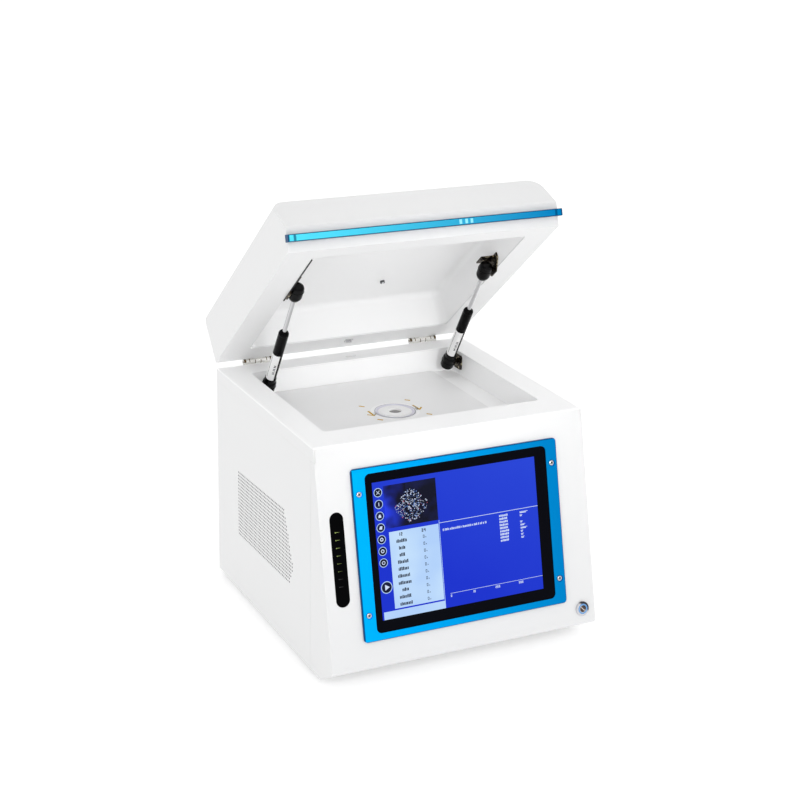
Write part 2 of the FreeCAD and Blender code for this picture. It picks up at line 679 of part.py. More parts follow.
def supply(size, place, ears):
    """A closed supply case on the base pan with a fixing ear at each end."""
    width, depth, height = size
    x, y = place
    case = rounded(x - width / 2, x + width / 2, y - depth / 2, y + depth / 2, PAN_TOP, PAN_TOP + height, 3)
    plate = centred(x, y, width - EAR_INSET, depth + 2 * ears, PAN_TOP, PAN_TOP + SHEET)
    holes = [Part.makeCylinder(2.2, 9, V(x + a * (width / 2 - EAR_INSET), y + b * (depth / 2 + ears / 2),
                                         PAN_TOP - 3)) for a in (-1, 1) for b in (-1, 1)]
    return case.fuse(plate).cut(holes).removeSplitter()


def main_board():
    """Circuit board on its standoffs with a finned heat sink and edge connectors."""
    x, y = BOARD_AT
    z = PAN_TOP + STANDOFF_H
    top = z + BOARD_T
    board = centred(x, y, BOARD_W, BOARD_DEPTH, z, top)
    base = top + SINK / 11
    sink_x = x - PLUG_DEPTH
    sink = centred(sink_x, y + SINK / 2, SINK, SINK, top, base)
    pitch = SINK / (SINK_FINS + 0.5)
    fins = [centred(sink_x + (i - SINK_FINS / 2 + 0.5) * pitch, y + SINK / 2, pitch / 3, SINK, base,
                    top + SINK * 0.4) for i in range(SINK_FINS)]
    plug_x = x + BOARD_W / 2 - PLUG_DEPTH / 2
    plugs = [centred(plug_x, y + (i - 1.5) * PLUG_STEP, PLUG_DEPTH, PLUG_LEN, top, top + PLUG_DEPTH)
             for i in range(4)]
    modules = centred(sink_x, y - SINK, BOARD_W * 0.6, PLUG_LEN, top, top + PLUG_DEPTH / 2)
    return board.fuse([sink, modules] + fins + plugs).removeSplitter()


def fan_housing():
    """Square fan frame with four struts and a middle mount that carries the rotor's pin."""
    x, z = FAN_AT
    half = FAN_SIZE / 2
    back = -SHEET
    front = back - FAN_T
    frame = along_y([(x - half, z - half), (x + half, z - half), (x + half, z + half), (x - half, z + half)],
                    front, back)
    bore = Part.makeCylinder(FAN_BORE_R, 3 * FAN_T, V(x, front - FAN_T, z), Y_AXIS)
    frame = frame.cut(bore)
    arms = []
    for turn in (45, 135):
        arm = box(-FAN_BORE_R - 1, FAN_BORE_R + 1, front, front + 3, -3, 3)
        arms.append(put(arm, FreeCAD.Placement(V(x, 0, z), FreeCAD.Rotation(Y_AXIS, turn))))
    mount = Part.makeCylinder(HUB_R, 3, V(x, front, z), Y_AXIS)
    pin = Part.makeCylinder(SHAFT_R, FAN_T - 6, V(x, front, z), Y_AXIS)
    return frame.fuse(arms + [mount, pin]).removeSplitter()


def fan_rotor():
    """Hub and pitched blades that turn on the housing's pin."""
    x, z = FAN_AT
    front = -SHEET - FAN_T + 3 + 1
    depth = FAN_T - 7
    hub = Part.makeCylinder(HUB_R, depth, V(0, front, 0), Y_AXIS)
    tip = FAN_BORE_R - TIP_GAP
    blades = []
    for i in range(FAN_BLADES):
        blade = box(HUB_R - 3, tip, -depth * 0.55, depth * 0.55, -0.8, 0.8)
        blade = put(blade, FreeCAD.Placement(V(0, front + depth / 2, 0), FreeCAD.Rotation(X_AXIS, 52)))
        turn = FreeCAD.Placement(V(0, 0, 0), FreeCAD.Rotation(Y_AXIS, 360.0 * i / FAN_BLADES))
        blades.append(put(blade, turn))
    swept = Part.makeCylinder(tip, depth, V(0, front, 0), Y_AXIS)
    socket = Part.makeCylinder(SHAFT_R + SHAFT_FIT, depth - 3, V(0, front, 0), Y_AXIS)
    rotor = hub.fuse(blades).common(swept).cut(socket)
    return put(rotor.removeSplitter(), FreeCAD.Placement(V(x, 0, z), FreeCAD.Rotation()))


def fan_guard():
    """Finger guard on the outside: flat rings on a cross, with four fixing tabs."""
    x, z = FAN_AT
    thick = 2.0
    rings = []
    for radius in (HUB_R, (HUB_R + FAN_BORE_R) / 2, FAN_BORE_R):
        outer = Part.makeCylinder(radius + 1.2, thick, V(0, 0, 0), Y_AXIS)
        inner = Part.makeCylinder(radius - 1.2, thick, V(0, 0, 0), Y_AXIS)
        rings.append(outer.cut(inner))
    reach = FAN_SIZE / 2 * math.sqrt(2) - 4
    bars = [put(box(-reach, reach, 0, thick, -1.6, 1.6),
                FreeCAD.Placement(V(0, 0, 0), FreeCAD.Rotation(Y_AXIS, turn))) for turn in (45, 135)]
    guard = rings[0].fuse(rings[1:] + bars).removeSplitter()
    return put(guard, FreeCAD.Placement(V(x, 0, z), FreeCAD.Rotation()))


def power_inlet():
    """Three-pin inlet: flange outside, socket well through the panel, three blades inside."""
    x, z = INLET_AT
    flange = rounded(-INLET_W / 2 - 11, INLET_W / 2 + 11, -INLET_H / 2 - 3, INLET_H / 2 + 3, 0, 3, 4)
    body = box(-INLET_W / 2, INLET_W / 2, -INLET_H / 2, INLET_H / 2, -28, 0)
    well = box(-INLET_W / 2 + 1.5, INLET_W / 2 - 1.5, -INLET_H / 2 + 1.5, INLET_H / 2 - 1.5, -14, 4)
    corners = [edge for edge in well.Edges if near(edge.Length, 18) and edge.CenterOfMass.y > 0]
    well = well.makeChamfer(4, corners)
    blades = [box(a - 1, a + 1, b - 2.5, b + 2.5, -14, 1) for a, b in ((-7, -2), (0, 3), (7, -2))]
    shape = flange.fuse(body).cut(well).fuse(blades).removeSplitter()
    return put(shape, FreeCAD.Placement(V(x, 0, z), FreeCAD.Rotation(X_AXIS, -90)))


def rocker_frame():
    """Frame of the mains switch, with the two holes that carry the rocker."""
    x, z = ROCKER_AT
    wide = ROCKER_W / 2 + 2
    tall = ROCKER_H / 2 + 4
    body = box(x - wide, x + wide, -22, 0, z - tall, z + tall)
    rim = box(x - wide - 2, x + wide + 2, 0, 2, z - tall - 2, z + tall + 2)
    room = box(x - ROCKER_W / 2 - FIT, x + ROCKER_W / 2 + FIT, -15, 3, z - tall + 2, z + tall - 2)
    pin = Part.makeCylinder(1.5 + SHAFT_FIT, ROCKER_W + 3, V(x - ROCKER_W / 2 - 1.5, -3, z), X_AXIS)
    return body.fuse(rim).cut([room, pin]).removeSplitter()


def rocker_cap():
    """The rocker, tipped to its off side, with its two trunnions."""
    x, z = ROCKER_AT
    half = ROCKER_H / 2
    outline = [(7, -half), (5.2, 0), (7, half), (1, half), (-5, half * 0.5), (-5, -half * 0.5), (1, -half)]
    cap = along_x(outline, -ROCKER_W / 2, ROCKER_W / 2)
    pin = Part.makeCylinder(1.5, ROCKER_W + 2.4, V(-ROCKER_W / 2 - 1.2, 0, 0), X_AXIS)
    tip = FreeCAD.Placement(V(x, -3, z), FreeCAD.Rotation(X_AXIS, -ROCKER_TILT))
    return put(cap.fuse(pin), tip)


def port_block():
    """Data ports behind the panel: two flat ones, a square one and a round one."""
    x, z = PORTS_AT
    body = box(x - PORTS_W / 2, x + PORTS_W / 2, -PORTS_DEPTH, 0, z - PORTS_H / 2, z + PORTS_H / 2)
    wells = []
    for i, height in enumerate((PORT_W / 2, PORT_W / 2, PORT_W)):
        middle = x + (i - 1.5) * PORT_STEP
        wells.append(centred(middle, 0, PORT_W, 2 * PORT_WELL, z - height / 2, z + height / 2))
    jack = V(x + 1.5 * PORT_STEP, -PORT_WELL, z)
    wells.append(Part.makeCylinder(PORT_W * 0.4, 2 * PORT_WELL, jack, Y_AXIS))
    return body.cut(wells)


def bezel_screws():
    """Where the four bezel screws stand on the front, at the middle of the bezel's two sides."""
    left = ((BEZEL_X - BEZEL_W / 2) + (GLASS_X - GLASS_W / 2)) / 2
    right = ((BEZEL_X + BEZEL_W / 2) + (GLASS_X + GLASS_W / 2)) / 2
    rows = (-BEZEL_TOP - BEZEL_SCREW_TOP, -BEZEL_TOP - BEZEL_H + BEZEL_SCREW_FOOT)
    return [(x, y) for x in (left, right) for y in rows]


def display_bezel():
    """The frame round the screen, with a soft outer edge and four screw pockets."""
    frame = rounded(BEZEL_X - BEZEL_W / 2, BEZEL_X + BEZEL_W / 2, -BEZEL_TOP - BEZEL_H, -BEZEL_TOP,
                    0, BEZEL_PROUD, BEZEL_R)
    rim = edges_where(frame, lambda p: near(p.z, BEZEL_PROUD))
    frame = frame.makeChamfer(BEZEL_PROUD / 4, rim)
    room = rounded(GLASS_X - GLASS_W / 2 - FIT, GLASS_X + GLASS_W / 2 + FIT,
                   -GLASS_TOP - GLASS_H - FIT, -GLASS_TOP + FIT, -1, BEZEL_PROUD + 1, GLASS_R + FIT)
    pockets = []
    for x, y in bezel_screws():
        pockets.append(Part.makeCylinder(
            BEZEL_SCREW_POCKET / 2, BEZEL_PROUD, V(x, y, BEZEL_PROUD - BEZEL_SCREW_HEAD)))
        pockets.append(Part.makeCylinder(BEZEL_SCREW_D / 4 + FIT, BEZEL_PROUD + 2, V(x, y, -1)))
    return put(frame.cut([room] + pockets), ON_FRONT)


def touch_glass():
    """The touch panel, seated on the front sheet inside the bezel."""
    pane = rounded(GLASS_X - GLASS_W / 2, GLASS_X + GLASS_W / 2, -GLASS_TOP - GLASS_H, -GLASS_TOP,
                   0, GLASS_T, GLASS_R)
    return put(pane, ON_FRONT)


def display_module():
    """The display bonded behind the glass, clear of the window's edge."""
    gap = GLASS_SEAT + 1
    slab = box(GLASS_X - GLASS_W / 2 + gap, GLASS_X + GLASS_W / 2 - gap,
               -GLASS_TOP - GLASS_H + gap, -GLASS_TOP - gap, -DISPLAY_T, 0)
    corners = [edge for edge in slab.Edges if near(edge.Length, DISPLAY_T)]
    return put(slab.makeFillet(GLASS_R, corners), ON_FRONT)


def bezel_screw_heads():
    """Four pan-head screws, seated in the bezel's pockets."""
    screws = []
    seat = BEZEL_PROUD - BEZEL_SCREW_HEAD
    for x, y in bezel_screws():
        head = Part.makeCylinder(BEZEL_SCREW_D / 2, BEZEL_SCREW_HEAD, V(x, y, seat))
        shank = Part.makeCylinder(BEZEL_SCREW_D / 4, seat + 3 * SHEET, V(x, y, -3 * SHEET))
        screws.append(put(head.fuse(shank), ON_FRONT))
    return screws


def indicator_lens():
    """The dark capsule window, stepped so that it stops against the back of the sheet."""
    low = -SLOT_TOP - SLOT_LEN
    face = capsule(SLOT_X, low + FIT, -SLOT_TOP - FIT, SLOT_W - 2 * FIT, -SHEET, 0.4)
    step = capsule(SLOT_X, low - 2, -SLOT_TOP + 2, SLOT_W + 4, -SHEET - LENS_T, -SHEET)
    return put(face.fuse(step).removeSplitter(), ON_FRONT)


def indicator_lights():
    """The light strip behind the capsule: a slim board with its row of lamps."""
    back = -SHEET - LENS_T
    low = -SLOT_TOP - SLOT_LEN
    inset_y = STRIP_W / 2
    strip = centred(SLOT_X, low + SLOT_LEN / 2, STRIP_W, SLOT_LEN - 2 * inset_y,
                    back - LED_H - STRIP_T, back - LED_H)
    lamps = [centred(SLOT_X, -SLOT_TOP - LED_FIRST - i * LED_PITCH, LED_W, LED_L, back - LED_H, back)
             for i in range(LED_COUNT)]
    return put(strip.fuse(lamps).removeSplitter(), ON_FRONT)


def button_place():
    """The placement of the button's axis on the front."""
    return ON_FRONT.multiply(FreeCAD.Placement(V(BUTTON_X, -BUTTON_DOWN, 0), FreeCAD.Rotation()))


def button_housing():
    """Bevelled metal head, threaded barrel and the nut that clamps it to the sheet."""
    top = BUTTON_PROUD
    floor = top - BUTTON_TRAVEL - 4
    well = BUTTON_CAP_R + 0.1
    outline = [(well, floor), (well, top), (LIGHT_RING_IN - 0.02, top), (LIGHT_RING_IN - 0.02, top - 2),
               (LIGHT_RING_OUT + 0.02, top - 2), (LIGHT_RING_OUT + 0.02, top), (BUTTON_HEAD_R - 1, top),
               (BUTTON_HEAD_R, top - 1), (BUTTON_HEAD_R, 0), (BUTTON_BARREL_R, 0), (BUTTON_BARREL_R, -SHEET),
               (BUTTON_NUT_R, -SHEET), (BUTTON_NUT_R, -SHEET - BUTTON_NUT_T),
               (BUTTON_BARREL_R, -SHEET - BUTTON_NUT_T), (BUTTON_BARREL_R, -BUTTON_BARREL_L),
               (0, -BUTTON_BARREL_L), (0, floor)]
    return put(turned(outline, V(0, 0, 0), Z_AXIS), button_place())


def button_light_ring():
    """The lit ring let into the head."""
    outline = [(LIGHT_RING_IN, BUTTON_PROUD - 2), (LIGHT_RING_OUT, BUTTON_PROUD - 2),
               (LIGHT_RING_OUT, BUTTON_PROUD), (LIGHT_RING_IN, BUTTON_PROUD)]
    return put(turned(outline, V(0, 0, 0), Z_AXIS), button_place())


def power_button_cap():
    """The pressed cap: it stands level with the head and sinks by its travel."""
    floor = BUTTON_PROUD - BUTTON_TRAVEL - 4
    bottom = floor + BUTTON_TRAVEL + 0.3
    outline = [(0, bottom), (BUTTON_CAP_R, bottom), (BUTTON_CAP_R, BUTTON_PROUD - 0.4),
               (BUTTON_CAP_R - 0.4, BUTTON_PROUD), (0, BUTTON_PROUD)]
    return put(turned(outline, V(0, 0, 0), Z_AXIS), button_place())


def knuckle(x0, x1):
    """A length of hinge barrel bored for its pin."""
    barrel = Part.makeCylinder(BARREL_R, x1 - x0, V(x0, HINGE_BACK, HINGE_Z), X_AXIS)
    bore = Part.makeCylinder(HINGE_PIN_R + PIN_FIT, x1 - x0 + 2, V(x0 - 1, HINGE_BACK, HINGE_Z), X_AXIS)
    return barrel.cut(bore)


def hinge_spans():
    """The ends of the left, middle and right knuckles of the right-hand hinge."""
    x0 = HINGE_X - HINGE_LEN / 2
    third = HINGE_LEN / 3
    gap = KNUCKLE_GAP / 2
    return [(x0, x0 + third - gap), (x0 + third + gap, x0 + 2 * third - gap),
            (x0 + 2 * third + gap, x0 + HINGE_LEN)]


def hinge_leaf_fixed():
    """The leaf screwed to the cabinet's back, with the two outer knuckles."""
    left, middle, right = hinge_spans()
    leaf = box(left[0], right[1], 0, LEAF_T, HINGE_Z - LEAF_H, HINGE_Z)
    notch = box(middle[0] - KNUCKLE_GAP, middle[1] + KNUCKLE_GAP, -LEAF_T, 2 * LEAF_T,
                HINGE_Z - BARREL_R - KNUCKLE_GAP, HINGE_Z + 1)
    bore = Part.makeCylinder(HINGE_PIN_R + PIN_FIT, 2 * HINGE_LEN,
                             V(left[0] - 1, HINGE_BACK, HINGE_Z), X_AXIS)
    holes = [Part.makeCylinder(2.2, 4 * LEAF_T, V(x, -LEAF_T, HINGE_Z - 20), Y_AXIS)
             for x in (HINGE_X - 14, HINGE_X, HINGE_X + 14)]
    return leaf.cut([notch, bore] + holes).fuse([knuckle(*left), knuckle(*right)]).removeSplitter()


def hinge_leaf_moving():
    """The leaf screwed to the lid's back, with the middle knuckle, drawn closed."""
    left, middle, right = hinge_spans()
    leaf = box(left[0], right[1], LID_BACK, LID_BACK + LEAF_T, HINGE_Z, HINGE_Z + LEAF_H)
    clear = HINGE_Z + BARREL_R + KNUCKLE_GAP
    notches = [box(left[0] - 1, middle[0], -LEAF_T, 2 * LEAF_T, HINGE_Z - 1, clear),
               box(middle[1], right[1] + 1, -LEAF_T, 2 * LEAF_T, HINGE_Z - 1, clear)]
    bore = Part.makeCylinder(HINGE_PIN_R + PIN_FIT, 2 * HINGE_LEN,
                             V(left[0] - 1, HINGE_BACK, HINGE_Z), X_AXIS)
    holes = [Part.makeCylinder(2.2, 4 * LEAF_T, V(x, -LEAF_T, HINGE_Z + 20), Y_AXIS)
             for x in (HINGE_X - 14, HINGE_X, HINGE_X + 14)]
    return leaf.cut(notches + [bore] + holes).fuse(knuckle(*middle)).removeSplitter()


def hinge_pin():
    """The pin through one hinge."""
    return Part.makeCylinder(HINGE_PIN_R, HINGE_LEN, V(HINGE_X - HINGE_LEN / 2, HINGE_BACK, HINGE_Z), X_AXIS)


def interlock_switch():
    """The switch under the deck slot, with a well for the lid's tongue."""
    y = LID_BACK - TONGUE_BACK
    body = centred(TONGUE_X, y, DECK_SLOT_W + 8, SWITCH_DEPTH, DECK_UNDER - SWITCH_H, DECK_UNDER)
    well = centred(TONGUE_X, y, DECK_SLOT_W, DECK_SLOT_T + 1, DECK_UNDER - SWITCH_H / 2, DECK_Z)
    return body.cut(well)


def lid_outline():
    """The closed lid's (y, z) outline, clockwise from the back bottom corner."""
    points = [(0, 0), (0, LID_H), (LID_FLAT, LID_H), (LID_REACH, LID_BREAK), (LID_FOOT, 0)]
    return [(LID_BACK - forward, RIM_Z + up) for forward, up in points]


def lid_shell():
    """The folded lid: rounded crown, flat brow, leaning band and a rim that frames the recess."""
    outline = lid_outline()
    room = inset(outline[::-1], SHEET)[::-1]
    mouth = rounded(-RECESS_HALF, RECESS_HALF, LID_BACK - RECESS_FRONT, LID_BACK - RECESS_BACK,
                    RIM_Z - SHEET, RIM_Z + 2 * SHEET, MOUTH_R)
    return lid_block(outline, 0).cut([lid_block(room, SHEET), mouth])


def lid_block(outline, wall):
    """The side outline carried across the lid, with both long edges of its crown rounded."""
    half = LID_W / 2 - wall
    top = outline[1][1]
    tunnel = box(-half, half, LID_BACK - 2 * LID_REACH, LID_BACK + LID_REACH, RIM_Z - LID_H, top)
    rims = [edge for edge in tunnel.Edges if near(edge.CenterOfMass.z, top)
            and near(abs(edge.CenterOfMass.x), half)]
    tunnel = tunnel.makeFillet(LID_SIDE_R - wall, rims)
    return along_x(outline, -half, half).common(tunnel)


def lid_liner():
    """The moulded recess inside the lid, deep enough for tall samples."""
    wall = LINER_WALL
    low = RIM_Z + SHEET

    def bowl(grow, depth):
        block = rounded(-RECESS_HALF - grow, RECESS_HALF + grow, LID_BACK - RECESS_FRONT - grow,
                        LID_BACK - RECESS_BACK + grow, low, RIM_Z + depth, RECESS_R + grow)
        roof = edges_where(block, lambda p: near(p.z, RIM_Z + depth))
        if grow:
            return block.makeChamfer(RECESS_R / 2, roof)
        return block.makeFillet(RECESS_R * 0.8, roof)

    lip = rounded(-RECESS_HALF - LINER_LIP, RECESS_HALF + LINER_LIP,
                  LID_BACK - RECESS_FRONT - LINER_LIP, LID_BACK - RECESS_BACK + LINER_LIP,
                  low, low + wall, RECESS_R + LINER_LIP)
    return bowl(wall, RECESS_DEPTH + wall).fuse(lip).cut(bowl(0, RECESS_DEPTH)).removeSplitter()


def recess_lamp():
    """The small lamp on the recess roof."""
    top = RIM_Z + RECESS_DEPTH
    return Part.makeCylinder(LAMP_R, 3, V(LAMP_X, LID_BACK - LAMP_BACK, top - 3))


def band_place():
    """A placement whose Y runs down the lid's front band and whose Z points out of it."""
    outline = lid_outline()
    top = outline[3]
    foot = outline[4]
    turn = math.degrees(math.atan2(foot[1] - top[1], foot[0] - top[0]))
    return FreeCAD.Placement(V(0, top[0], top[1]), FreeCAD.Rotation(X_AXIS, turn))


def handle_bar():
    """The pull bar across the lid's front band, with pockets for its three lights."""
    block = box(-BAR_LEN / 2, BAR_LEN / 2, BAR_DROP, BAR_DROP + BAR_SIZE, -BAR_SIZE, 0)
    long_edges = edges_where(block, lambda p: near(p.z, -BAR_SIZE))
    long_edges = [edge for edge in long_edges if near(edge.Length, BAR_LEN)]
    block = block.makeFillet(BAR_R, long_edges)
    pockets = [box(x - BAR_LIGHT_W / 2, x + BAR_LIGHT_W / 2, BAR_DROP + 2, BAR_DROP + BAR_SIZE - 2,
                   -BAR_SIZE - 1, -BAR_SIZE + 3) for x in BAR_LIGHTS]
    return put(block.cut(pockets), band_place())


def handle_lights():
    """Three small light blocks in the bar."""
    return [put(box(x - BAR_LIGHT_W / 2, x + BAR_LIGHT_W / 2, BAR_DROP + 2, BAR_DROP + BAR_SIZE - 2,
                    -BAR_SIZE - 0.3, -BAR_SIZE + 3), band_place()) for x in BAR_LIGHTS]


def interlock_tongue():
    """The tongue under the lid's rim, on a small foot."""
    y = LID_BACK - TONGUE_BACK
    foot = centred(TONGUE_X, y, TONGUE_W + 4, 8, RIM_Z - 1.2, RIM_Z)
    blade = centred(TONGUE_X, y, TONGUE_W, TONGUE_T, RIM_Z - TONGUE_L, RIM_Z - 1.2)
    return foot.fuse(blade).removeSplitter()


def lower_bracket():
    """Wall plate in the chamber with the ball stud that carries the strut's foot."""
    wall = OPENING_HALF
    half = BRACKET_W / 2
    y = LOWER_PIVOT.y
    z = LOWER_PIVOT.z
    plate = box(wall - BRACKET_T, wall, y - half, y + half, z - half - 2, z + half - 2)
    corners = [edge for edge in plate.Edges if near(edge.Length, BRACKET_T)]
    plate = plate.makeFillet(3, corners)
    neck = Part.makeCylinder(STUD_R, wall - BRACKET_T - STRUT_X, V(STRUT_X, y, z), X_AXIS)
    collar = Part.makeCylinder(STUD_R + 1.6, 2, V(wall - BRACKET_T - 2, y, z), X_AXIS)
    return plate.fuse([neck, collar, ball(BALL_R, STRUT_X, y, z)]).removeSplitter()


def upper_bracket():
    """Wall plate in the lid recess with the outer half of the upper ball stud, drawn closed."""
    wall = RECESS_HALF
    y = CLOSED_PIVOT.y
    z = CLOSED_PIVOT.z
    top = RIM_Z + 19
    outline = [(y + 18, top), (y + 18, top - 9), (y + 8, z - 7), (y - 8, z - 7), (y - 36, top - 7),
               (y - 36, top)]
    plate = along_x(outline, wall - BRACKET_T, wall)
    start = STRUT_X + SOCKET_R + PIVOT_GAP
    neck = Part.makeCylinder(STUD_R, wall - BRACKET_T - start, V(start, y, z), X_AXIS)
    holes = [Part.makeCylinder(2.2, 8, V(wall - 5, y + a, top - 5), X_AXIS) for a in (12, -28)]
    return plate.fuse(neck).cut(holes).removeSplitter()


def strut_cylinder():
    """The strut's pressure tube, bored for the piston and closed by the rod's gland."""
    foot = LOWER_SOCKET
    top = foot + CYLINDER_LEN
    hole = ROD_R + ROD_FIT
    outline = [(0, foot), (CYLINDER_R, foot), (CYLINDER_R, top - 1.5), (CYLINDER_R - 1.5, top), (hole, top),
               (hole, top - GLAND_T), (CYLINDER_BORE, top - GLAND_T), (CYLINDER_BORE, foot + CYLINDER_END),
               (0, foot + CYLINDER_END)]
    return turned(outline, V(STRUT_X, 0, 0), Z_AXIS)


def strut_rod():
    """The rod with its piston, drawn at the open length."""
    gland = LOWER_SOCKET + CYLINDER_LEN - GLAND_T
    face = gland - PISTON_STOP
    piston = CYLINDER_BORE - ROD_FIT
    outline = [(0, face - PISTON_T), (piston, face - PISTON_T), (piston, face), (ROD_R, face),
               (ROD_R, STRUT_OPEN - UPPER_SOCKET), (0, STRUT_OPEN - UPPER_SOCKET)]
    return turned(outline, V(STRUT_X, 0, 0), Z_AXIS)


def socket_body(shoulder, tail):
    """The outside of a ball socket: a barrel with a domed tail and an eased shoulder."""
    step = 1 if shoulder > 0 else -1
    outline = [(0, -step * tail), (SOCKET_R - 3, -step * tail), (SOCKET_R, -step * (tail - 3)),
               (SOCKET_R, shoulder - step * 3), (SOCKET_R - 1, shoulder), (0, shoulder)]
    return turned(outline, V(STRUT_X, 0, 0), Z_AXIS)


def lower_end():
    """The lower socket, hollow for the cabinet's ball and open towards its stud."""
    cavity = ball(BALL_R + BALL_FIT, STRUT_X, 0, 0)
    way = Part.makeCylinder(STUD_R + 1.2, 2 * SOCKET_R, V(STRUT_X, 0, 0), X_AXIS)
    return socket_body(LOWER_SOCKET, SOCKET_TAIL).cut([cavity, way])


def upper_end():
    """The upper socket with its ball and the inner half of the stud, flush with its side."""
    at = V(STRUT_X, 0, STRUT_OPEN)
    body = put(socket_body(-UPPER_SOCKET, SOCKET_TAIL), FreeCAD.Placement(V(0, 0, STRUT_OPEN), FreeCAD.Rotation()))
    groove = Part.makeCylinder(STUD_R + 1.2, SOCKET_R, at + V(SOCKET_R - 3, 0, 0), X_AXIS)
    stud = Part.makeCylinder(STUD_R, SOCKET_R, at, X_AXIS)
    return body.cut(groove).fuse(stud).removeSplitter()


def main():
    os.makedirs("parts", exist_ok=True)

    save("base_pan", base_pan())
    save("feet", *feet())
    right_side = side_panel()
    save("side_panel_right", right_side)
    save("side_panel_left", mirrored(right_side))
    save("rear_panel", rear_panel())
    save("top_deck", top_deck())
    save("front_fascia", front_fascia())

    save("chamber_liner", chamber_liner())
    save("sample_plate", sample_plate())
    save("window_ring", window_ring())
    save("window_film", Part.makeCylinder(FILM_R, FILM_T, V(0, -WINDOW_Y, FLOOR_Z)))
    save("measuring_head", measuring_head())
    save("xray_tube", xray_tube())
    save("detector", detector())
    save("sample_camera", sample_camera())
    save("high_voltage_supply", supply(SUPPLY_BOX, SUPPLY_AT, SUPPLY_EAR))
    save("power_supply", supply(PSU_BOX, PSU_AT, PSU_EAR))
    save("main_board", main_board())

    save("fan_housing", fan_housing())
    save("fan_rotor", fan_rotor())
    save("fan_guard", fan_guard())
    save("power_inlet", power_inlet())
    save("rocker_frame", rocker_frame())
    save("rocker_cap", rocker_cap())
    save("port_block", port_block())

    save("display_bezel", display_bezel())
    save("touch_glass", touch_glass())
    save("display_module", display_module())
    save("bezel_screws", *bezel_screw_heads())
    save("indicator_lens", indicator_lens())
    save("indicator_lights", indicator_lights())
    save("button_housing", button_housing())
    save("button_light_ring", button_light_ring())
    save("power_button_cap", power_button_cap())

    fixed_leaf = hinge_leaf_fixed()
    moving_leaf = hinge_leaf_moving()
    save("hinge_leaf_fixed_right", fixed_leaf)
    save("hinge_leaf_fixed_left", mirrored(fixed_leaf))
    save("hinge_leaf_moving_right", put(moving_leaf, LID_UP))
    save("hinge_leaf_moving_left", put(mirrored(moving_leaf), LID_UP))
    save("hinge_pins", hinge_pin(), mirrored(hinge_pin()))
    save("interlock_switch", interlock_switch())

    save("lid_shell", put(lid_shell(), LID_UP))
    save("lid_liner", put(lid_liner(), LID_UP))
    save("recess_lamp", put(recess_lamp(), LID_UP))
    save("handle_bar", put(handle_bar(), LID_UP))
    save("handle_lights", *[put(light, LID_UP) for light in handle_lights()])
    save("interlock_tongue", put(interlock_tongue(), LID_UP))

    near_bracket = lower_bracket()
    far_bracket = upper_bracket()
    save("strut_bracket_lower_right", near_bracket)
    save("strut_bracket_lower_left", mirrored(near_bracket))
    save("strut_bracket_upper_right", put(far_bracket, LID_UP))
    save("strut_bracket_upper_left", put(mirrored(far_bracket), LID_UP))
    for node, shape in (("strut_tube", strut_cylinder()), ("strut_rod", strut_rod()),
                        ("strut_end_lower", lower_end()), ("strut_end_upper", upper_end())):
        save(node + "_right", put(shape, ALONG_STRUT))
        save(node + "_left", put(mirrored(shape), ALONG_STRUT))


main()
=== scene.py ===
import json
import math
import random

import bmesh
import bpy
from mathutils import Matrix, Vector

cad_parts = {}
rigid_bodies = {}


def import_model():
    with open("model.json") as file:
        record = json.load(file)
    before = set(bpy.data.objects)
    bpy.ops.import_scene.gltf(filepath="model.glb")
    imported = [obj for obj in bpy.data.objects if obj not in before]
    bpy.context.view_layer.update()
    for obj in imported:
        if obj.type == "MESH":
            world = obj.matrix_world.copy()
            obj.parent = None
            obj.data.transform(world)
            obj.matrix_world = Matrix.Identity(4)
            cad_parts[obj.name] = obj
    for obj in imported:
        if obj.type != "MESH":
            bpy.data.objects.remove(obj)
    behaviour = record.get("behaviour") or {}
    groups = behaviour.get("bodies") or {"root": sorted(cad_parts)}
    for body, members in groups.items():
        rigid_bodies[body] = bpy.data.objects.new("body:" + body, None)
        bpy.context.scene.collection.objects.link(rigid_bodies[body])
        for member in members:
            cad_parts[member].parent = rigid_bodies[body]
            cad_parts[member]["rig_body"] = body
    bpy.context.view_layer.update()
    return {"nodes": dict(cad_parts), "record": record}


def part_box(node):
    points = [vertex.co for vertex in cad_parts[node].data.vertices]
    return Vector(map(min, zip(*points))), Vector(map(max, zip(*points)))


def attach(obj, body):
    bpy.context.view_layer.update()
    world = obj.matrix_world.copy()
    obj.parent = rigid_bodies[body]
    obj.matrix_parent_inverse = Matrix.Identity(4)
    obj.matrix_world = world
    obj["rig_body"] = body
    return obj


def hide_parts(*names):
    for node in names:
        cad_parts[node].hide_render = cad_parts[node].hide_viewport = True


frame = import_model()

cad = frame["nodes"]
joints = {joint["name"]: joint for joint in frame["record"]["behaviour"]["joints"]}


# The table. A wide sheet of white acrylic lit evenly from below, as under a catalogue
# photograph, so that it stays white right up to the cabinet.
TABLE_REACH = 60.0
TABLE_GLOW = 0.24


def tint(*levels):
    """A linear colour from the red, green and blue that a screen shows, 0 to 255."""
    parts = [value / 255 for value in levels]
    return tuple(p / 12.92 if p < 0.04045 else ((p + 0.055) / 1.055) ** 2.4 for p in parts)


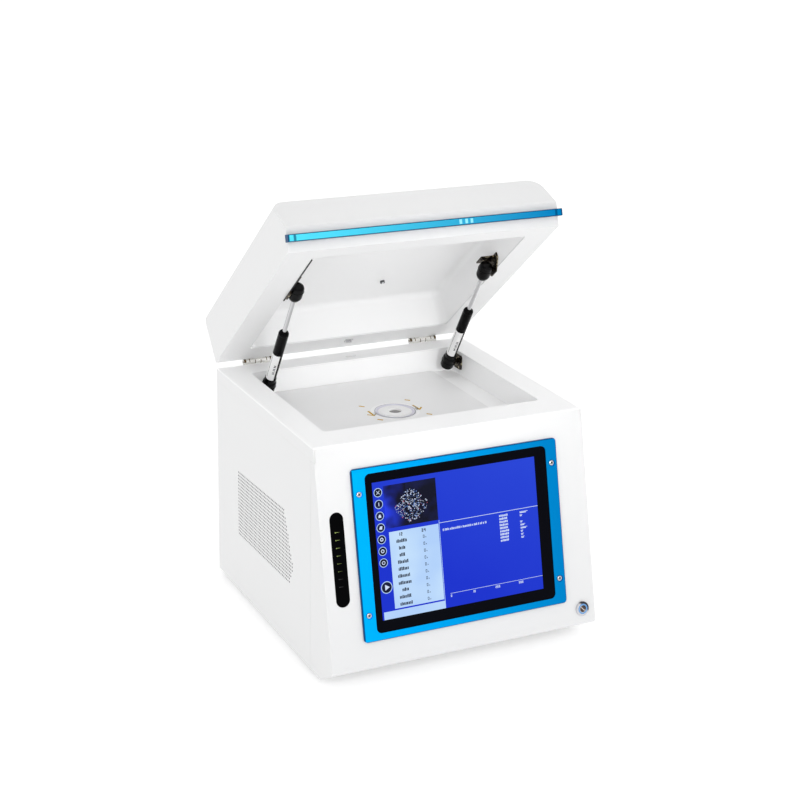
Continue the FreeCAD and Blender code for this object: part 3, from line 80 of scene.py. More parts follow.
class Reading:
    """A value in a material, such as a mask or a height, that plain maths can be written on."""

    def __init__(self, tree, socket):
        self.tree = tree
        self.socket = socket

    def maths(self, operation, first, second=None):
        node = self.tree.nodes.new("ShaderNodeMath")
        node.operation = operation
        for slot, value in ((0, first), (1, second)):
            if isinstance(value, Reading):
                self.tree.links.new(value.socket, node.inputs[slot])
            elif value is not None:
                node.inputs[slot].default_value = value
        return Reading(self.tree, node.outputs[0])

    def __add__(self, other):
        return self.maths("ADD", self, other)

    def __radd__(self, other):
        return self.maths("ADD", other, self)

    def __sub__(self, other):
        return self.maths("SUBTRACT", self, other)

    def __rsub__(self, other):
        return self.maths("SUBTRACT", other, self)

    def __mul__(self, other):
        return self.maths("MULTIPLY", self, other)

    def __rmul__(self, other):
        return self.maths("MULTIPLY", other, self)

    def __abs__(self):
        return self.maths("ABSOLUTE", self)

    def larger(self, other):
        return self.maths("MAXIMUM", self, other)


class Finish:
    """One surface finish: a principled shader and what feeds it."""

    def __init__(self, name, colour, roughness, metallic=0.0, specular=0.5):
        self.material = bpy.data.materials.new(name)
        self.material.use_nodes = True
        self.tree = self.material.node_tree
        self.tree.nodes.clear()
        self.shader = self.tree.nodes.new("ShaderNodeBsdfPrincipled")
        surface = self.tree.nodes.new("ShaderNodeOutputMaterial")
        self.tree.links.new(self.shader.outputs[0], surface.inputs[0])
        self.colour = colour
        self.roughness = roughness
        self.feed({"Base Color": (*colour, 1), "Roughness": roughness, "Metallic": metallic,
                   "Specular IOR Level": specular})

    def node(self, kind, settings=None, sockets=None, out=0):
        """Add any node: its settings first, then its sockets' values or links."""
        made = self.tree.nodes.new(kind)
        for word, value in (settings or {}).items():
            setattr(made, word, value)
        for word, value in (sockets or {}).items():
            if isinstance(value, Reading):
                self.tree.links.new(value.socket, made.inputs[word])
            else:
                made.inputs[word].default_value = value
        return Reading(self.tree, made.outputs[out])

    def feed(self, sockets):
        """Set or link the shader's own sockets."""
        for word, value in sockets.items():
            if isinstance(value, Reading):
                self.tree.links.new(value.socket, self.shader.inputs[word])
            else:
                self.shader.inputs[word].default_value = value
        return self

    def place(self):
        """Object coordinates, in metres."""
        return self.node("ShaderNodeTexCoord", out=3)

    def along(self, x, y, z):
        """How far a point lies along a direction, in metres."""
        return self.node("ShaderNodeVectorMath", {"operation": "DOT_PRODUCT"},
                         {0: self.place(), 1: (x, y, z)}, out=1)

    def ramp(self, value, low, high):
        """0 at low, 1 at high and straight between."""
        sockets = {"Value": value, "From Min": low, "From Max": high}
        return self.node("ShaderNodeMapRange", {"clamp": True}, sockets)

    def grain(self, scale, detail=2.0):
        """Soft noise with features of about 1 / scale metres."""
        return self.node("ShaderNodeTexNoise", None,
                         {"Vector": self.place(), "Scale": scale, "Detail": detail})

    def blend(self, mask, first, second):
        """Mix two colours by a mask."""
        sockets = {0: mask}
        for slot, colour in ((6, first), (7, second)):
            sockets[slot] = colour if isinstance(colour, Reading) else (*colour, 1)
        return self.node("ShaderNodeMix", {"data_type": "RGBA"}, sockets, out=2)

    def mottled(self, spread=0.03, scale=40.0, patchy=0.06):
        """Vary the colour and the gloss a little, as any real surface does."""
        low = tuple(value * (1 - spread) for value in self.colour)
        high = tuple(min(1.0, value * (1 + spread)) for value in self.colour)
        self.feed({"Base Color": self.blend(self.grain(scale, 3.0), low, high),
                   "Roughness": self.roughness - patchy / 2 + self.grain(scale * 9) * patchy})
        return self

    def dented(self, height, depth):
        """Use a height, in steps of depth metres, as surface relief."""
        return self.feed({"Normal": self.node("ShaderNodeBump", None, {
            "Height": height, "Distance": depth, "Strength": 1.0})})

    def lit(self, colour, strength, second=None, mask=None):
        """Make the surface glow, in one colour or between two."""
        glow = self.blend(mask, colour, second) if second else (*colour, 1)
        return self.feed({"Emission Color": glow, "Emission Strength": strength})


acrylic = Finish("table_acrylic", (0.90, 0.90, 0.90), 0.9, specular=0.1)
acrylic.mottled(0.004, 2.0).lit((1, 1, 1), TABLE_GLOW)
table_mesh = bpy.data.meshes.new("table_top")
corners = [(a * TABLE_REACH, b * TABLE_REACH, 0) for a, b in ((-1, -1), (1, -1), (1, 1), (-1, 1))]
table_mesh.from_pydata(corners, [], [(0, 1, 2, 3)])
table_mesh.materials.append(acrylic.material)
table_top = bpy.data.objects.new("table_top", table_mesh)
bpy.context.scene.collection.objects.link(table_top)


# The light. A pale, even room and three soft panels: a broad one before and above the front, a
# weak one to the left of it, and a narrow one that reaches under the lid and into the chamber.
ROOM_LIGHT = 0.93

world = bpy.data.worlds.new("studio")
bpy.context.scene.world = world
world.use_nodes = True
world.node_tree.nodes["Background"].inputs["Color"].default_value = (1, 1, 1, 1)
world.node_tree.nodes["Background"].inputs["Strength"].default_value = ROOM_LIGHT
for name, spot, aim, size, spread, power in (
        ("panel_front", (-0.5, -2.95, 1.75), (0, 0, 0.3), 1.6, 180, 13.0),
        ("panel_left", (-3.2, -0.9, 1.4), (0, 0, 0.3), 2.4, 180, 2.0),
        ("panel_chamber", (-0.2, -2.6, 1.05), (0.02, 0, 0.365), 0.3, 15, 0.14)):
    light = bpy.data.lights.new(name, "AREA")
    light.shape = "SQUARE"
    light.size = size
    light.spread = math.radians(spread)
    light.energy = power
    panel = bpy.data.objects.new(name, light)
    panel.location = spot
    panel.rotation_euler = (Vector(aim) - Vector(spot)).to_track_quat("-Z", "Y").to_euler()
    bpy.context.scene.collection.objects.link(panel)
bpy.context.scene.view_settings.view_transform = "Standard"


# The camera stands to the left of the front and looks slightly down, as for the photograph.
# The shifts are the small offset of the photograph's optical centre.
YAW, PITCH, ROLL = (math.radians(angle) for angle in (-26.15, 18.36, 1.14))
CAMERA_RIGHT = -1.0294
CAMERA_BEFORE_BACK = 2.2871
CAMERA_UP = 1.1325
FOCAL_PIXELS = 1759.53
IMAGE_PIXELS = 800
OPTICAL_CENTRE = (398.59, 367.79)

back_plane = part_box("rear_panel")[1].y
camera_at = Vector((CAMERA_RIGHT, back_plane - CAMERA_BEFORE_BACK, CAMERA_UP))
ahead = Vector((-math.sin(YAW) * math.cos(PITCH), math.cos(YAW) * math.cos(PITCH), -math.sin(PITCH)))
level = Vector((math.cos(YAW), math.sin(YAW), 0))
upright = level.cross(ahead)
across = math.cos(ROLL) * level + math.sin(ROLL) * upright
upward = math.cos(ROLL) * upright - math.sin(ROLL) * level
lens = bpy.data.cameras.new("view")
lens.lens = FOCAL_PIXELS / IMAGE_PIXELS * lens.sensor_width
lens.shift_x = 0.5 - OPTICAL_CENTRE[0] / IMAGE_PIXELS
lens.shift_y = OPTICAL_CENTRE[1] / IMAGE_PIXELS - 0.5
camera = bpy.data.objects.new("view", lens)
camera_turn = Matrix((across, upward, -ahead)).transposed().to_4x4()
camera.matrix_world = Matrix.Translation(camera_at) @ camera_turn
bpy.context.scene.collection.objects.link(camera)
bpy.context.scene.camera = camera


# Cabinet sheets: steel folded and welded, then powder coated white: the base pan, the back,
# the top deck with its skirt and the front with its nose and chin. A fine, even, satin coat.
COAT = (0.775, 0.777, 0.779)
CLEAR_WHITE = (0.945, 0.946, 0.948)
TOP_BAND = 0.0012
JOIN = 0.000005
CREASE = 32


def painted(name, roughness, specular, coat=COAT):
    """A powder coat: an even colour, a fine grain in the gloss and a faint orange peel."""
    made = Finish(name, coat, roughness, specular=specular)
    made.mottled(0.008, 6.0, 0.08)
    return made.dented(made.grain(700.0, 3.0), 0.00004)


def shown(name, mesh, finish, body, nodes=(), sharp=CREASE):
    """Put a finished mesh in the scene on its body, in place of the CAD nodes that it replaces."""
    mesh.materials.clear()
    mesh.materials.append(finish.material)
    for polygon in mesh.polygons:
        polygon.material_index = 0
    mesh.shade_smooth()
    mesh.set_sharp_from_angle(angle=math.radians(sharp))
    piece = bpy.data.objects.new(name, mesh)
    bpy.context.scene.collection.objects.link(piece)
    piece.modifiers.new("even_shading", "WEIGHTED_NORMAL").keep_sharp = True
    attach(piece, body)
    if nodes:
        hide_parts(*nodes)
    return piece


def dressed(node, finish):
    """A copy of a CAD piece with its corners joined and its curves smooth, in its own finish."""
    shape = bmesh.new()
    shape.from_mesh(cad[node].data)
    bmesh.ops.remove_doubles(shape, verts=shape.verts, dist=JOIN)
    bmesh.ops.dissolve_degenerate(shape, edges=shape.edges, dist=JOIN)
    mesh = bpy.data.meshes.new(node + "_skin")
    shape.to_mesh(mesh)
    shape.free()
    stale = mesh.attributes.get("custom_normal")
    if stale:
        mesh.attributes.remove(stale)
    shown(node + "_skin", mesh, finish, cad[node]["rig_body"], [node])


cabinet_coat = painted("cabinet_powder_coat", 0.36, 0.4)
for node in ("base_pan", "rear_panel", "front_fascia"):
    dressed(node, cabinet_coat)

# The deck's top is painted a little whiter than its skirt: painted light, standing in for the light that
# falls on it.
deck_lo, deck_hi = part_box("top_deck")
deck_coat = painted("deck_powder_coat", 0.36, 0.4)
deck_top_painted_light = deck_coat.ramp(deck_coat.along(0, 0, 1), deck_hi.z - 2 * TOP_BAND, deck_hi.z - TOP_BAND)
deck_coat.feed({"Base Color": deck_coat.blend(deck_top_painted_light, COAT, CLEAR_WHITE)})
dressed("top_deck", deck_coat)


# Side panels: white sheet with folded hems, screwed on from inside. Each has a field of twenty
# rows of fine round vents whose cut walls are painted dark, as painted shade inside the holes.
# The rows climb a little to the front, where the field leans forward down to a corner and then back.
VENT_PITCH = 0.005
VENT_ROWS = 20
VENT_R = 0.0014
VENT_SIDES = 8
VENT_WALL_AREA = 0.000005
VENT_BACK = 0.085
# Heights of the top and the bottom row, at the rear and at the front.
VENT_TOP = (0.193, 0.201)
VENT_FOOT = (0.098, 0.103)
# The corners of the field's front edge: distance from the rear and height.
VENT_FRONT = [(0.256, 0.201), (0.290, 0.127), (0.275, 0.103)]
PANEL_T = 0.002
HEM = 0.012
SKIRT_GAP = 0.0171
STRAP_DROP = 0.034


def vent_plugs(places):
    """Geometry Nodes: one slim eight-sided plug on every vent place, ready to be cut away."""
    tree = bpy.data.node_groups.new("vent_plugs", "GeometryNodeTree")
    tree.interface.new_socket("Geometry", in_out="INPUT", socket_type="NodeSocketGeometry")
    tree.interface.new_socket("Geometry", in_out="OUTPUT", socket_type="NodeSocketGeometry")
    radius = tree.interface.new_socket("Radius", in_out="INPUT", socket_type="NodeSocketFloat")
    source = tree.nodes.new("NodeGroupInput")
    plug = tree.nodes.new("GeometryNodeMeshCylinder")
    plug.inputs["Vertices"].default_value = VENT_SIDES
    plug.inputs["Depth"].default_value = 4 * PANEL_T
    spread = tree.nodes.new("GeometryNodeInstanceOnPoints")
    spread.inputs["Rotation"].default_value = (0, math.radians(90), 0)
    whole = tree.nodes.new("GeometryNodeRealizeInstances")
    dress = tree.nodes.new("GeometryNodeSetMaterial")
    dress.inputs["Material"].default_value = cabinet_coat.material
    result = tree.nodes.new("NodeGroupOutput")
    for start, end in ((source.outputs["Geometry"], spread.inputs["Points"]),
                       (source.outputs["Radius"], plug.inputs["Radius"]),
                       (plug.outputs["Mesh"], spread.inputs["Instance"]),
                       (spread.outputs["Instances"], whole.inputs["Geometry"]),
                       (whole.outputs["Geometry"], dress.inputs["Geometry"]),
                       (dress.outputs["Geometry"], result.inputs["Geometry"])):
        tree.links.new(start, end)
    mesh = bpy.data.meshes.new("vent_places")
    mesh.from_pydata(places, [], [])
    carrier = bpy.data.objects.new("vent_places", mesh)
    bpy.context.scene.collection.objects.link(carrier)
    nodes = carrier.modifiers.new("plugs", "NODES")
    nodes.node_group = tree
    nodes[radius.identifier] = VENT_R
    graph = bpy.context.evaluated_depsgraph_get()
    plugs = bpy.data.meshes.new_from_object(carrier.evaluated_get(graph))
    bpy.data.objects.remove(carrier)
    cutter = bpy.data.objects.new("vent_plugs", plugs)
    bpy.context.scene.collection.objects.link(cutter)
    return cutter


# The vents' cut walls are painted dark: painted shade inside the holes.
vent_edge = Finish("vent_edge", (0.16, 0.16, 0.16), 0.6, specular=0.2).mottled(0.1, 300.0)
for side, way in (("left", -1), ("right", 1)):
    node = "side_panel_" + side
    lo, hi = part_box(node)
    face = max(abs(lo.x), abs(hi.x))
    inner = face - PANEL_T
    seam = lo.y + HEM
    top = hi.z - SKIRT_GAP
    foot = lo.z + PANEL_T
    hem_back = hi.y - PANEL_T
    shape = bmesh.new()
    for x0, x1, y0, y1, z0, z1 in (
            (inner, face, seam, hi.y, lo.z, top),
            (inner - PANEL_T, inner, lo.y, seam + HEM, foot + PANEL_T, hi.z - STRAP_DROP),
            (inner - PANEL_T, inner, seam, hem_back, top - HEM, hi.z),
            (inner - HEM, inner, seam, hem_back, foot, foot + PANEL_T),
            (inner - HEM, inner, hem_back - PANEL_T, hem_back, foot + PANEL_T, top)):
        made = bmesh.ops.create_cube(shape, size=1.0)["verts"]
        middle = Vector((way * (x0 + x1) / 2, (y0 + y1) / 2, (z0 + z1) / 2))
        size = Matrix.Diagonal((x1 - x0, y1 - y0, z1 - z0, 1))
        bmesh.ops.transform(shape, matrix=Matrix.Translation(middle) @ size, verts=made)
    mesh = bpy.data.meshes.new(node + "_skin")
    shape.to_mesh(mesh)
    shape.free()
    places = []
    for row in range(VENT_ROWS):
        share = row / (VENT_ROWS - 1)
        start = VENT_FOOT[0] + (VENT_TOP[0] - VENT_FOOT[0]) * share
        end = VENT_FOOT[1] + (VENT_TOP[1] - VENT_FOOT[1]) * share
        crown, corner, heel = VENT_FRONT
        upper, lower = (crown, corner) if end > corner[1] else (corner, heel)
        reach = lower[0] + (upper[0] - lower[0]) * (end - lower[1]) / (upper[1] - lower[1])
        for column in range(int((reach - VENT_BACK) / VENT_PITCH) + 1):
            back = VENT_BACK + column * VENT_PITCH
            z = start + (end - start) * (back - VENT_BACK) / (reach - VENT_BACK)
            places.append((way * (face - PANEL_T / 2), back_plane - back, z))
    cutter = vent_plugs(places)
    panel = bpy.data.objects.new(node + "_blank", mesh)
    bpy.context.scene.collection.objects.link(panel)
    punch = panel.modifiers.new("punch", "BOOLEAN")
    punch.solver = "EXACT"
    punch.object = cutter
    graph = bpy.context.evaluated_depsgraph_get()
    punched = bpy.data.meshes.new_from_object(panel.evaluated_get(graph))
    bpy.data.objects.remove(panel)
    bpy.data.objects.remove(cutter)
    sheet = shown(node + "_skin", punched, cabinet_coat, "cabinet", [node]).data
    sheet.materials.append(vent_edge.material)
    for polygon in sheet.polygons:
        if abs(polygon.normal.x) < 0.5 and polygon.area < VENT_WALL_AREA:
            polygon.material_index = 1


# Sample chamber: a pressed tray in glossy white, a grey plate on its floor and the turned disc
# with the measuring aperture, screwed down over a thin film. Round the disc the plate carries a
# printed white ring, two gold arrows and four gold dashes.
MM = 0.001
SEAM = 0.0000005
PRINT_T = 0.06
# Shares of the disc's radius: its middle's end, the start of its darker rim (painted shade on its
# chamfered edge) and the white ring round it.
LAND, RIM_SHADE, HALO = (0.80, 0.83), (0.94, 0.96), (1.01, 1.18)
ARROW = [(-1.5, 11), (-1.5, -6), (-6.4, -1), (-8.2, -3), (0, -10.5), (8.2, -3), (6.4, -1), (1.5, -6),
         (1.5, 11)]
DASH = [(-4.2, -1.6), (4.2, -1.6), (4.2, 1.6), (-4.2, 1.6)]
# Each mark's place from the disc's middle, its turn in degrees and its outline.
PLATE_MARKS = ((-35.5, 3.5, 0, ARROW), (34.5, 2.0, 4, ARROW), (-35.5, 36.0, -45, DASH),
               (36.5, 35.2, -45, DASH), (39.2, -30.0, -45, DASH), (-34.5, -24.0, -45, DASH))


def lathe(shape, outline, place, steps=72):
    """Turn a closed (radius, height) outline in millimetres about Z and place it."""
    rings = []
    for i in range(steps):
        angle = 2 * math.pi * i / steps
        turn = Vector((math.cos(angle), math.sin(angle), 0))
        spots = [place @ ((turn * r + Vector((0, 0, h))) * MM) for r, h in outline]
        rings.append([shape.verts.new(spot) for spot in spots])
    count = len(outline)
    for i in range(steps):
        a, b = rings[i], rings[(i + 1) % steps]
        for k in range(count):
            shape.faces.new((a[k], b[k], b[(k + 1) % count], a[(k + 1) % count]))


def prism(shape, outline, low, high, place):
    """Draw a closed (x, y) outline in millimetres out from low to high and place it."""
    foot = [shape.verts.new(place @ (Vector((x, y, low)) * MM)) for x, y in outline]
    head = [shape.verts.new(place @ (Vector((x, y, high)) * MM)) for x, y in outline]
    shape.faces.new(head)
    shape.faces.new(foot[::-1])
    for k in range(len(outline)):
        n = (k + 1) % len(outline)
        shape.faces.new((foot[k], foot[n], head[n], head[k]))


def finished(name, shape, finish, body, nodes=(), sharp=CREASE):
    """Close a drawn shape's seams, face it outwards and show it."""
    bmesh.ops.remove_doubles(shape, verts=shape.verts, dist=SEAM)
    bmesh.ops.recalc_face_normals(shape, faces=shape.faces)
    mesh = bpy.data.meshes.new(name)
    shape.to_mesh(mesh)
    shape.free()
    shown(name, mesh, finish, body, nodes, sharp)


liner_gloss = painted("chamber_gloss_white", 0.38, 0.3, CLEAR_WHITE)
dressed("chamber_liner", liner_gloss)
plate_grey = Finish("plate_grey", (0.83, 0.83, 0.832), 0.36, specular=0.3).mottled(0.02, 8.0)
dressed("sample_plate", plate_grey)
window_lo, window_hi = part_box("window_ring")
window_at = Vector(((window_lo.x + window_hi.x) / 2, (window_lo.y + window_hi.y) / 2, 0))
window_r = (window_hi.x - window_lo.x) / 2
ring_white = Finish("window_white", (0.86, 0.86, 0.865), 0.3)
out = ring_white.node("ShaderNodeVectorMath", {"operation": "DISTANCE"},
                      {0: ring_white.place(), 1: (window_at.x, window_at.y, window_hi.z)}, out=1)
land = ring_white.ramp(out, *(share * window_r for share in LAND))
turned = ring_white.blend(land, (0.84, 0.84, 0.84), tint(212, 210, 222))
rim_shade = ring_white.ramp(out, *(share * window_r for share in RIM_SHADE))
ring_white.feed({"Base Color": ring_white.blend(rim_shade, turned, tint(166, 166, 172)),
                 "Roughness": 0.28 + ring_white.grain(500.0) * 0.06})
dressed("window_ring", ring_white)
film = Finish("window_film", (0.22, 0.215, 0.21), 0.18, specular=0.4).mottled(0.05, 400.0)
dressed("window_film", film)

gold = Finish("gold_print", tint(198, 156, 8), 0.5, specular=0.1).mottled(0.16, 300.0)
plate_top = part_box("sample_plate")[1].z / MM
print_top = plate_top + PRINT_T
halo = bmesh.new()
near, far = (share * window_r / MM for share in HALO)
lathe(halo, [(near, plate_top), (far, plate_top), (far, print_top), (near, print_top)],
      Matrix.Translation(window_at))
halo_white = Finish("halo_print", (0.90, 0.90, 0.90), 0.4, specular=0.3).mottled(0.02, 90.0)
finished("plate_halo", halo, halo_white, "cabinet")
marks = bmesh.new()
for x, y, turn, outline in PLATE_MARKS:
    spot = Matrix.Translation(window_at + Vector((x, y, 0)) * MM)
    spot = spot @ Matrix.Rotation(math.radians(turn), 4, "Z")
    prism(marks, outline, plate_top, print_top, spot)
finished("plate_marks", marks, gold, "cabinet")


# Display: a blue anodised aluminium frame with chamfered edges, the glass touch panel with a
# black border, and four pan-head screws in pockets. The screen shows a measuring program.
LEAN = math.radians(13.05)
PANE_FACE = 3.0
RIM_LINE = 0.0012
SCREWS_DOWN = (68.6, 229.8)
HEAD = [(0, -6), (1.85, -6), (1.85, 2), (3.75, 2), (3.75, 2.9), (3.4, 3.5), (2.6, 3.9), (1.5, 4.0),
        (0, 4.0)]
SLIT = [(-2.1, -0.6), (2.1, -0.6), (2.1, 0.6), (-2.1, 0.6)]
SLIT_Z = (3.85, 4.03)
SLIT_TURNS = (35, 125)

front_edge = deck_lo.y + (deck_hi.z - deck_lo.z) * math.tan(LEAN)
on_front = Matrix.Translation((0, front_edge, deck_hi.z))
on_front = on_front @ Matrix.Rotation(math.pi / 2 - LEAN, 4, "X")
bezel_lo, bezel_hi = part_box("display_bezel")
pane_lo, pane_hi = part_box("touch_glass")
down_front = on_front.to_3x3() @ Vector((0, -1, 0))
anodised = Finish("blue_anodised", tint(0, 178, 240), 0.34, metallic=1.0)
# The blue is painted lighter at the left and darker at the right: painted light.
bezel_painted_light = anodised.ramp(anodised.along(1, 0, 0), -0.15, 0.15)
anodised_blue = anodised.blend(bezel_painted_light, tint(0, 178, 255), tint(0, 130, 200))
span = (bezel_hi.z - bezel_lo.z) / abs(down_front.z)
middle = (bezel_lo + bezel_hi) / 2
# The frame's outer chamfered edge is painted dark: painted shade.
sideways = abs(anodised.along(1, 0, 0) - middle.x) - (bezel_hi.x - bezel_lo.x) / 2
lengthways = abs(anodised.along(*down_front) - middle.dot(down_front)) - span / 2
edge = anodised.ramp(sideways.larger(lengthways), -1.6 * RIM_LINE, -0.6 * RIM_LINE)
anodised.feed({"Base Color": anodised.blend(edge, anodised_blue, tint(4, 72, 128)),
               "Roughness": 0.30 + anodised.grain(900.0) * 0.1})
dressed("display_bezel", anodised)

pane_black = Finish("pane_black", tint(4, 5, 12), 0.08, specular=0.03).mottled(0.1, 20.0, 0.02)
dressed("touch_glass", pane_black)

chrome = Finish("screw_chrome", (0.60, 0.60, 0.61), 0.2, metallic=1.0).mottled(0.05, 500.0)
pocket_shade = Finish("drive_shade", (0.03, 0.03, 0.035), 0.5, specular=0.2).mottled(0.1, 900.0)
heads = bmesh.new()
recesses = bmesh.new()
for x in ((bezel_lo.x + pane_lo.x) / 2 / MM, (bezel_hi.x + pane_hi.x) / 2 / MM):
    for down in SCREWS_DOWN:
        spot = on_front @ Matrix.Translation(Vector((x, -down, 0)) * MM)
        lathe(heads, HEAD, spot, 40)
        for turn in SLIT_TURNS:
            prism(recesses, SLIT, *SLIT_Z, spot @ Matrix.Rotation(math.radians(turn), 4, "Z"))
finished("bezel_screws_turned", heads, chrome, "cabinet", ["bezel_screws"])
finished("bezel_screw_drives", recesses, pocket_shade, "cabinet")


# Screen picture: a deep blue field, a column of round buttons, the camera's view of the
# sample, a pale table of readings and an empty chart. Plain digits and bars stand for words.
# Places run across and down from the lit area's top left corner, in millimetres.
SCREEN_LEFT = -123.2
SCREEN_TOP = -56.1
SCREEN_W = 242.8
SCREEN_H = 183.6
LAYER = 0.03
DISC_SIDES = 28
BUTTONS = 7
BUTTON_X, BUTTON_Y, BUTTON_STEP = 7.7, 14.0, 15.6
BUTTON_RIM, BUTTON_FACE = 6.0, 5.2
PLAY_X, PLAY_Y, PLAY_RIM, PLAY_FACE = 9.3, 140.7, 8.2, 7.2
PLAY_SIGN = [(7.0, 144.6), (13.6, PLAY_Y), (7.0, 136.8)]
VIEW_X, VIEW_Y = (15.5, 91.9), (6.5, 63.4)
TABLE_X, TABLE_Y = (18.8, 91.4), (68.5, 171.2)
STATUS_X, STATUS_Y = (2.4, 93.0), (173.3, SCREEN_H)
DIVIDER_X, DIVIDER_Y = (92.2, 92.9), (64.0, 173.3)
HEADING_Y, HEADING_H = 71.2, 4.4
ROWS, ROW_Y, ROW_STEP = 10, 79.8, 9.35
WORD_X, WORD_H = 36.0, 4.6
VALUE_X, VALUE_H = 67.5, 4.0
POINT_X, POINT_H = (71.2, 72.0), 1.6
CHART_LEFT = 93.0
CHART_LINE_Y = (67.5, 68.2)
CAPTION_X, CAPTION_Y = (97.2, 163.0), (76.4, 79.4)
LEGEND_X, LEGEND_Y, LEGEND_STEP = (182.8, 195.0), 71.4, 4.25
LEGEND_VALUE_X = 214.2
LEGEND_VALUES = (12.8, 4.0, 0, 4.0, 7.5, 10.5, 4.0, 4.4, 5.2)
AXIS_LEFT, AXIS_Y = 101.5, (164.9, 165.4)
AXIS_MARKS = ((101.6, "0"), (134.5, "10"), (169.5, "200"), (205.5, "300"))
AXIS_DIGITS_Y, AXIS_DIGITS_H = 166.8, 3.2


def glowing(name, colour, second=None):
    """A flat patch of lit screen."""
    made = Finish(name, (0.004, 0.004, 0.006), 0.10, specular=0.05).mottled(0.1, 30.0, 0.02)
    if second:
        made.lit(colour, 1.0, second, made.ramp(made.grain(14.0), 0.35, 0.65))
    else:
        made.lit(colour, 1.0, tuple(0.94 * c for c in colour), made.grain(60.0))
    return made


def on_screen(level_up):
    """A placement whose X and Y run across and down the lit screen, in millimetres."""
    corner = Vector((SCREEN_LEFT, SCREEN_TOP, PANE_FACE + level_up * LAYER)) * MM
    return on_front @ Matrix.Translation(corner) @ Matrix.Diagonal((1, -1, 1, 1))


def patch(shape, x0, x1, y0, y1, level_up):
    """A flat rectangle on the screen."""
    outline = [(x0, y1), (x1, y1), (x1, y0), (x0, y0)]
    prism(shape, outline, -LAYER / 2, 0, on_screen(level_up))


def disc(shape, x, y, radius, level_up):
    """A flat round spot on the screen."""
    turns = [-2 * math.pi * i / DISC_SIDES for i in range(DISC_SIDES)]
    outline = [(x + radius * math.cos(turn), y + radius * math.sin(turn)) for turn in turns]
    prism(shape, outline, -LAYER / 2, 0, on_screen(level_up))


SEGMENTS = {"0": "abcdef", "1": "bc", "2": "abged", "3": "abgcd", "4": "fgbc"}
DIGIT_W, DIGIT_STEP = 0.55, 1.45


def digits(shape, text, x, y, height, level_up, weight):
    """Plain seven-stroke digits, left to right from their top left corner."""
    wide = height * DIGIT_W
    line = height * weight
    half, low = y + height / 2, y + height
    for place, sign in enumerate(text):
        left = x + place * wide * DIGIT_STEP
        right = left + wide
        strokes = {"a": (left, right, y, y + line), "b": (right - line, right, y, half),
                   "c": (right - line, right, half, low), "d": (left, right, low - line, low),
                   "e": (left, left + line, half, low), "f": (left, left + line, y, half),
                   "g": (left, right, half - line / 2, half + line / 2)}
        for stroke in SEGMENTS[sign]:
            patch(shape, *strokes[stroke], level_up)


field = bmesh.new()
patch(field, 0, SCREEN_W, 0, SCREEN_H, 1)
field_blue = glowing("screen_blue", tint(18, 50, 205))
field_blue.lit(tint(16, 46, 205), 1.0, tint(34, 66, 214), field_blue.ramp(
    field_blue.along(0.55, 0, 1) + field_blue.grain(9.0) * 0.08, 0.16, 0.36))
finished("screen_field", field, field_blue, "cabinet")

dark = bmesh.new()
pale = bmesh.new()
white = bmesh.new()
ink = bmesh.new()
# The buttons carry a cross, a bar, two plain blocks and three rings, from the top down.
for i in range(BUTTONS):
    y = BUTTON_Y + i * BUTTON_STEP
    disc(pale, BUTTON_X, y, BUTTON_RIM, 2)
    disc(dark, BUTTON_X, y, BUTTON_FACE, 3)
    if i == 0:
        for step in range(-4, 5):
            for way in (-1, 1):
                x, height = BUTTON_X + step * 0.5, y + way * step * 0.5
                patch(white, x - 0.4, x + 0.4, height - 0.35, height + 0.35, 4)
    elif i == 1:
        patch(white, BUTTON_X - 0.5, BUTTON_X + 0.5, y - 2.4, y + 2.4, 4)
    elif i in (2, 3):
        patch(white, BUTTON_X - 2.0, BUTTON_X + 2.0, y - 0.4, y + 2.2, 4)
        patch(white, BUTTON_X - 1.2, BUTTON_X + (2.4 if i == 3 else 1.2), y - 2.0, y - 0.4, 4)
    else:
        disc(white, BUTTON_X, y, 2.5, 4)
        disc(dark, BUTTON_X, y, 1.2 + 0.2 * (i - 4), 5)
disc(pale, PLAY_X, PLAY_Y, PLAY_RIM, 2)
disc(dark, PLAY_X, PLAY_Y, PLAY_FACE, 3)
prism(white, PLAY_SIGN, -LAYER / 2, 0, on_screen(4))
patch(dark, *VIEW_X, *VIEW_Y, 2)
patch(pale, *TABLE_X, *TABLE_Y, 2)
patch(pale, *STATUS_X, *STATUS_Y, 2)
patch(pale, *DIVIDER_X, *DIVIDER_Y, 2)

random.seed(7)
digits(ink, "12", WORD_X - 4, HEADING_Y, HEADING_H, 3, 0.2)
digits(ink, "34", VALUE_X - 1.5, HEADING_Y, HEADING_H, 3, 0.2)
for row in range(ROWS):
    y = ROW_Y + row * ROW_STEP
    width = random.choice((9.0, 12.0, 15.0, 18.0))
    x = WORD_X - width / 2
    end = min(y + WORD_H, TABLE_Y[1])
    while x < WORD_X + width / 2 - 1:
        step = random.choice((1.6, 2.0, 2.4))
        patch(ink, x, x + step * 0.72, y + random.choice((0.0, 1.0, 1.0)), end, 3)
        x += step
    digits(ink, "0", VALUE_X, y, VALUE_H, 3, 0.14)
    patch(ink, *POINT_X, y + VALUE_H - POINT_H, y + VALUE_H, 3)

patch(white, CHART_LEFT, SCREEN_W, *CHART_LINE_Y, 2)
x = CAPTION_X[0]
while x < CAPTION_X[1]:
    step = random.choice((1.2, 1.7, 2.2))
    patch(white, x, x + step * 0.68, CAPTION_Y[0] + random.choice((0.0, 0.6)), CAPTION_Y[1], 2)
    x += step + random.choice((0.0, 0.0, 0.9))
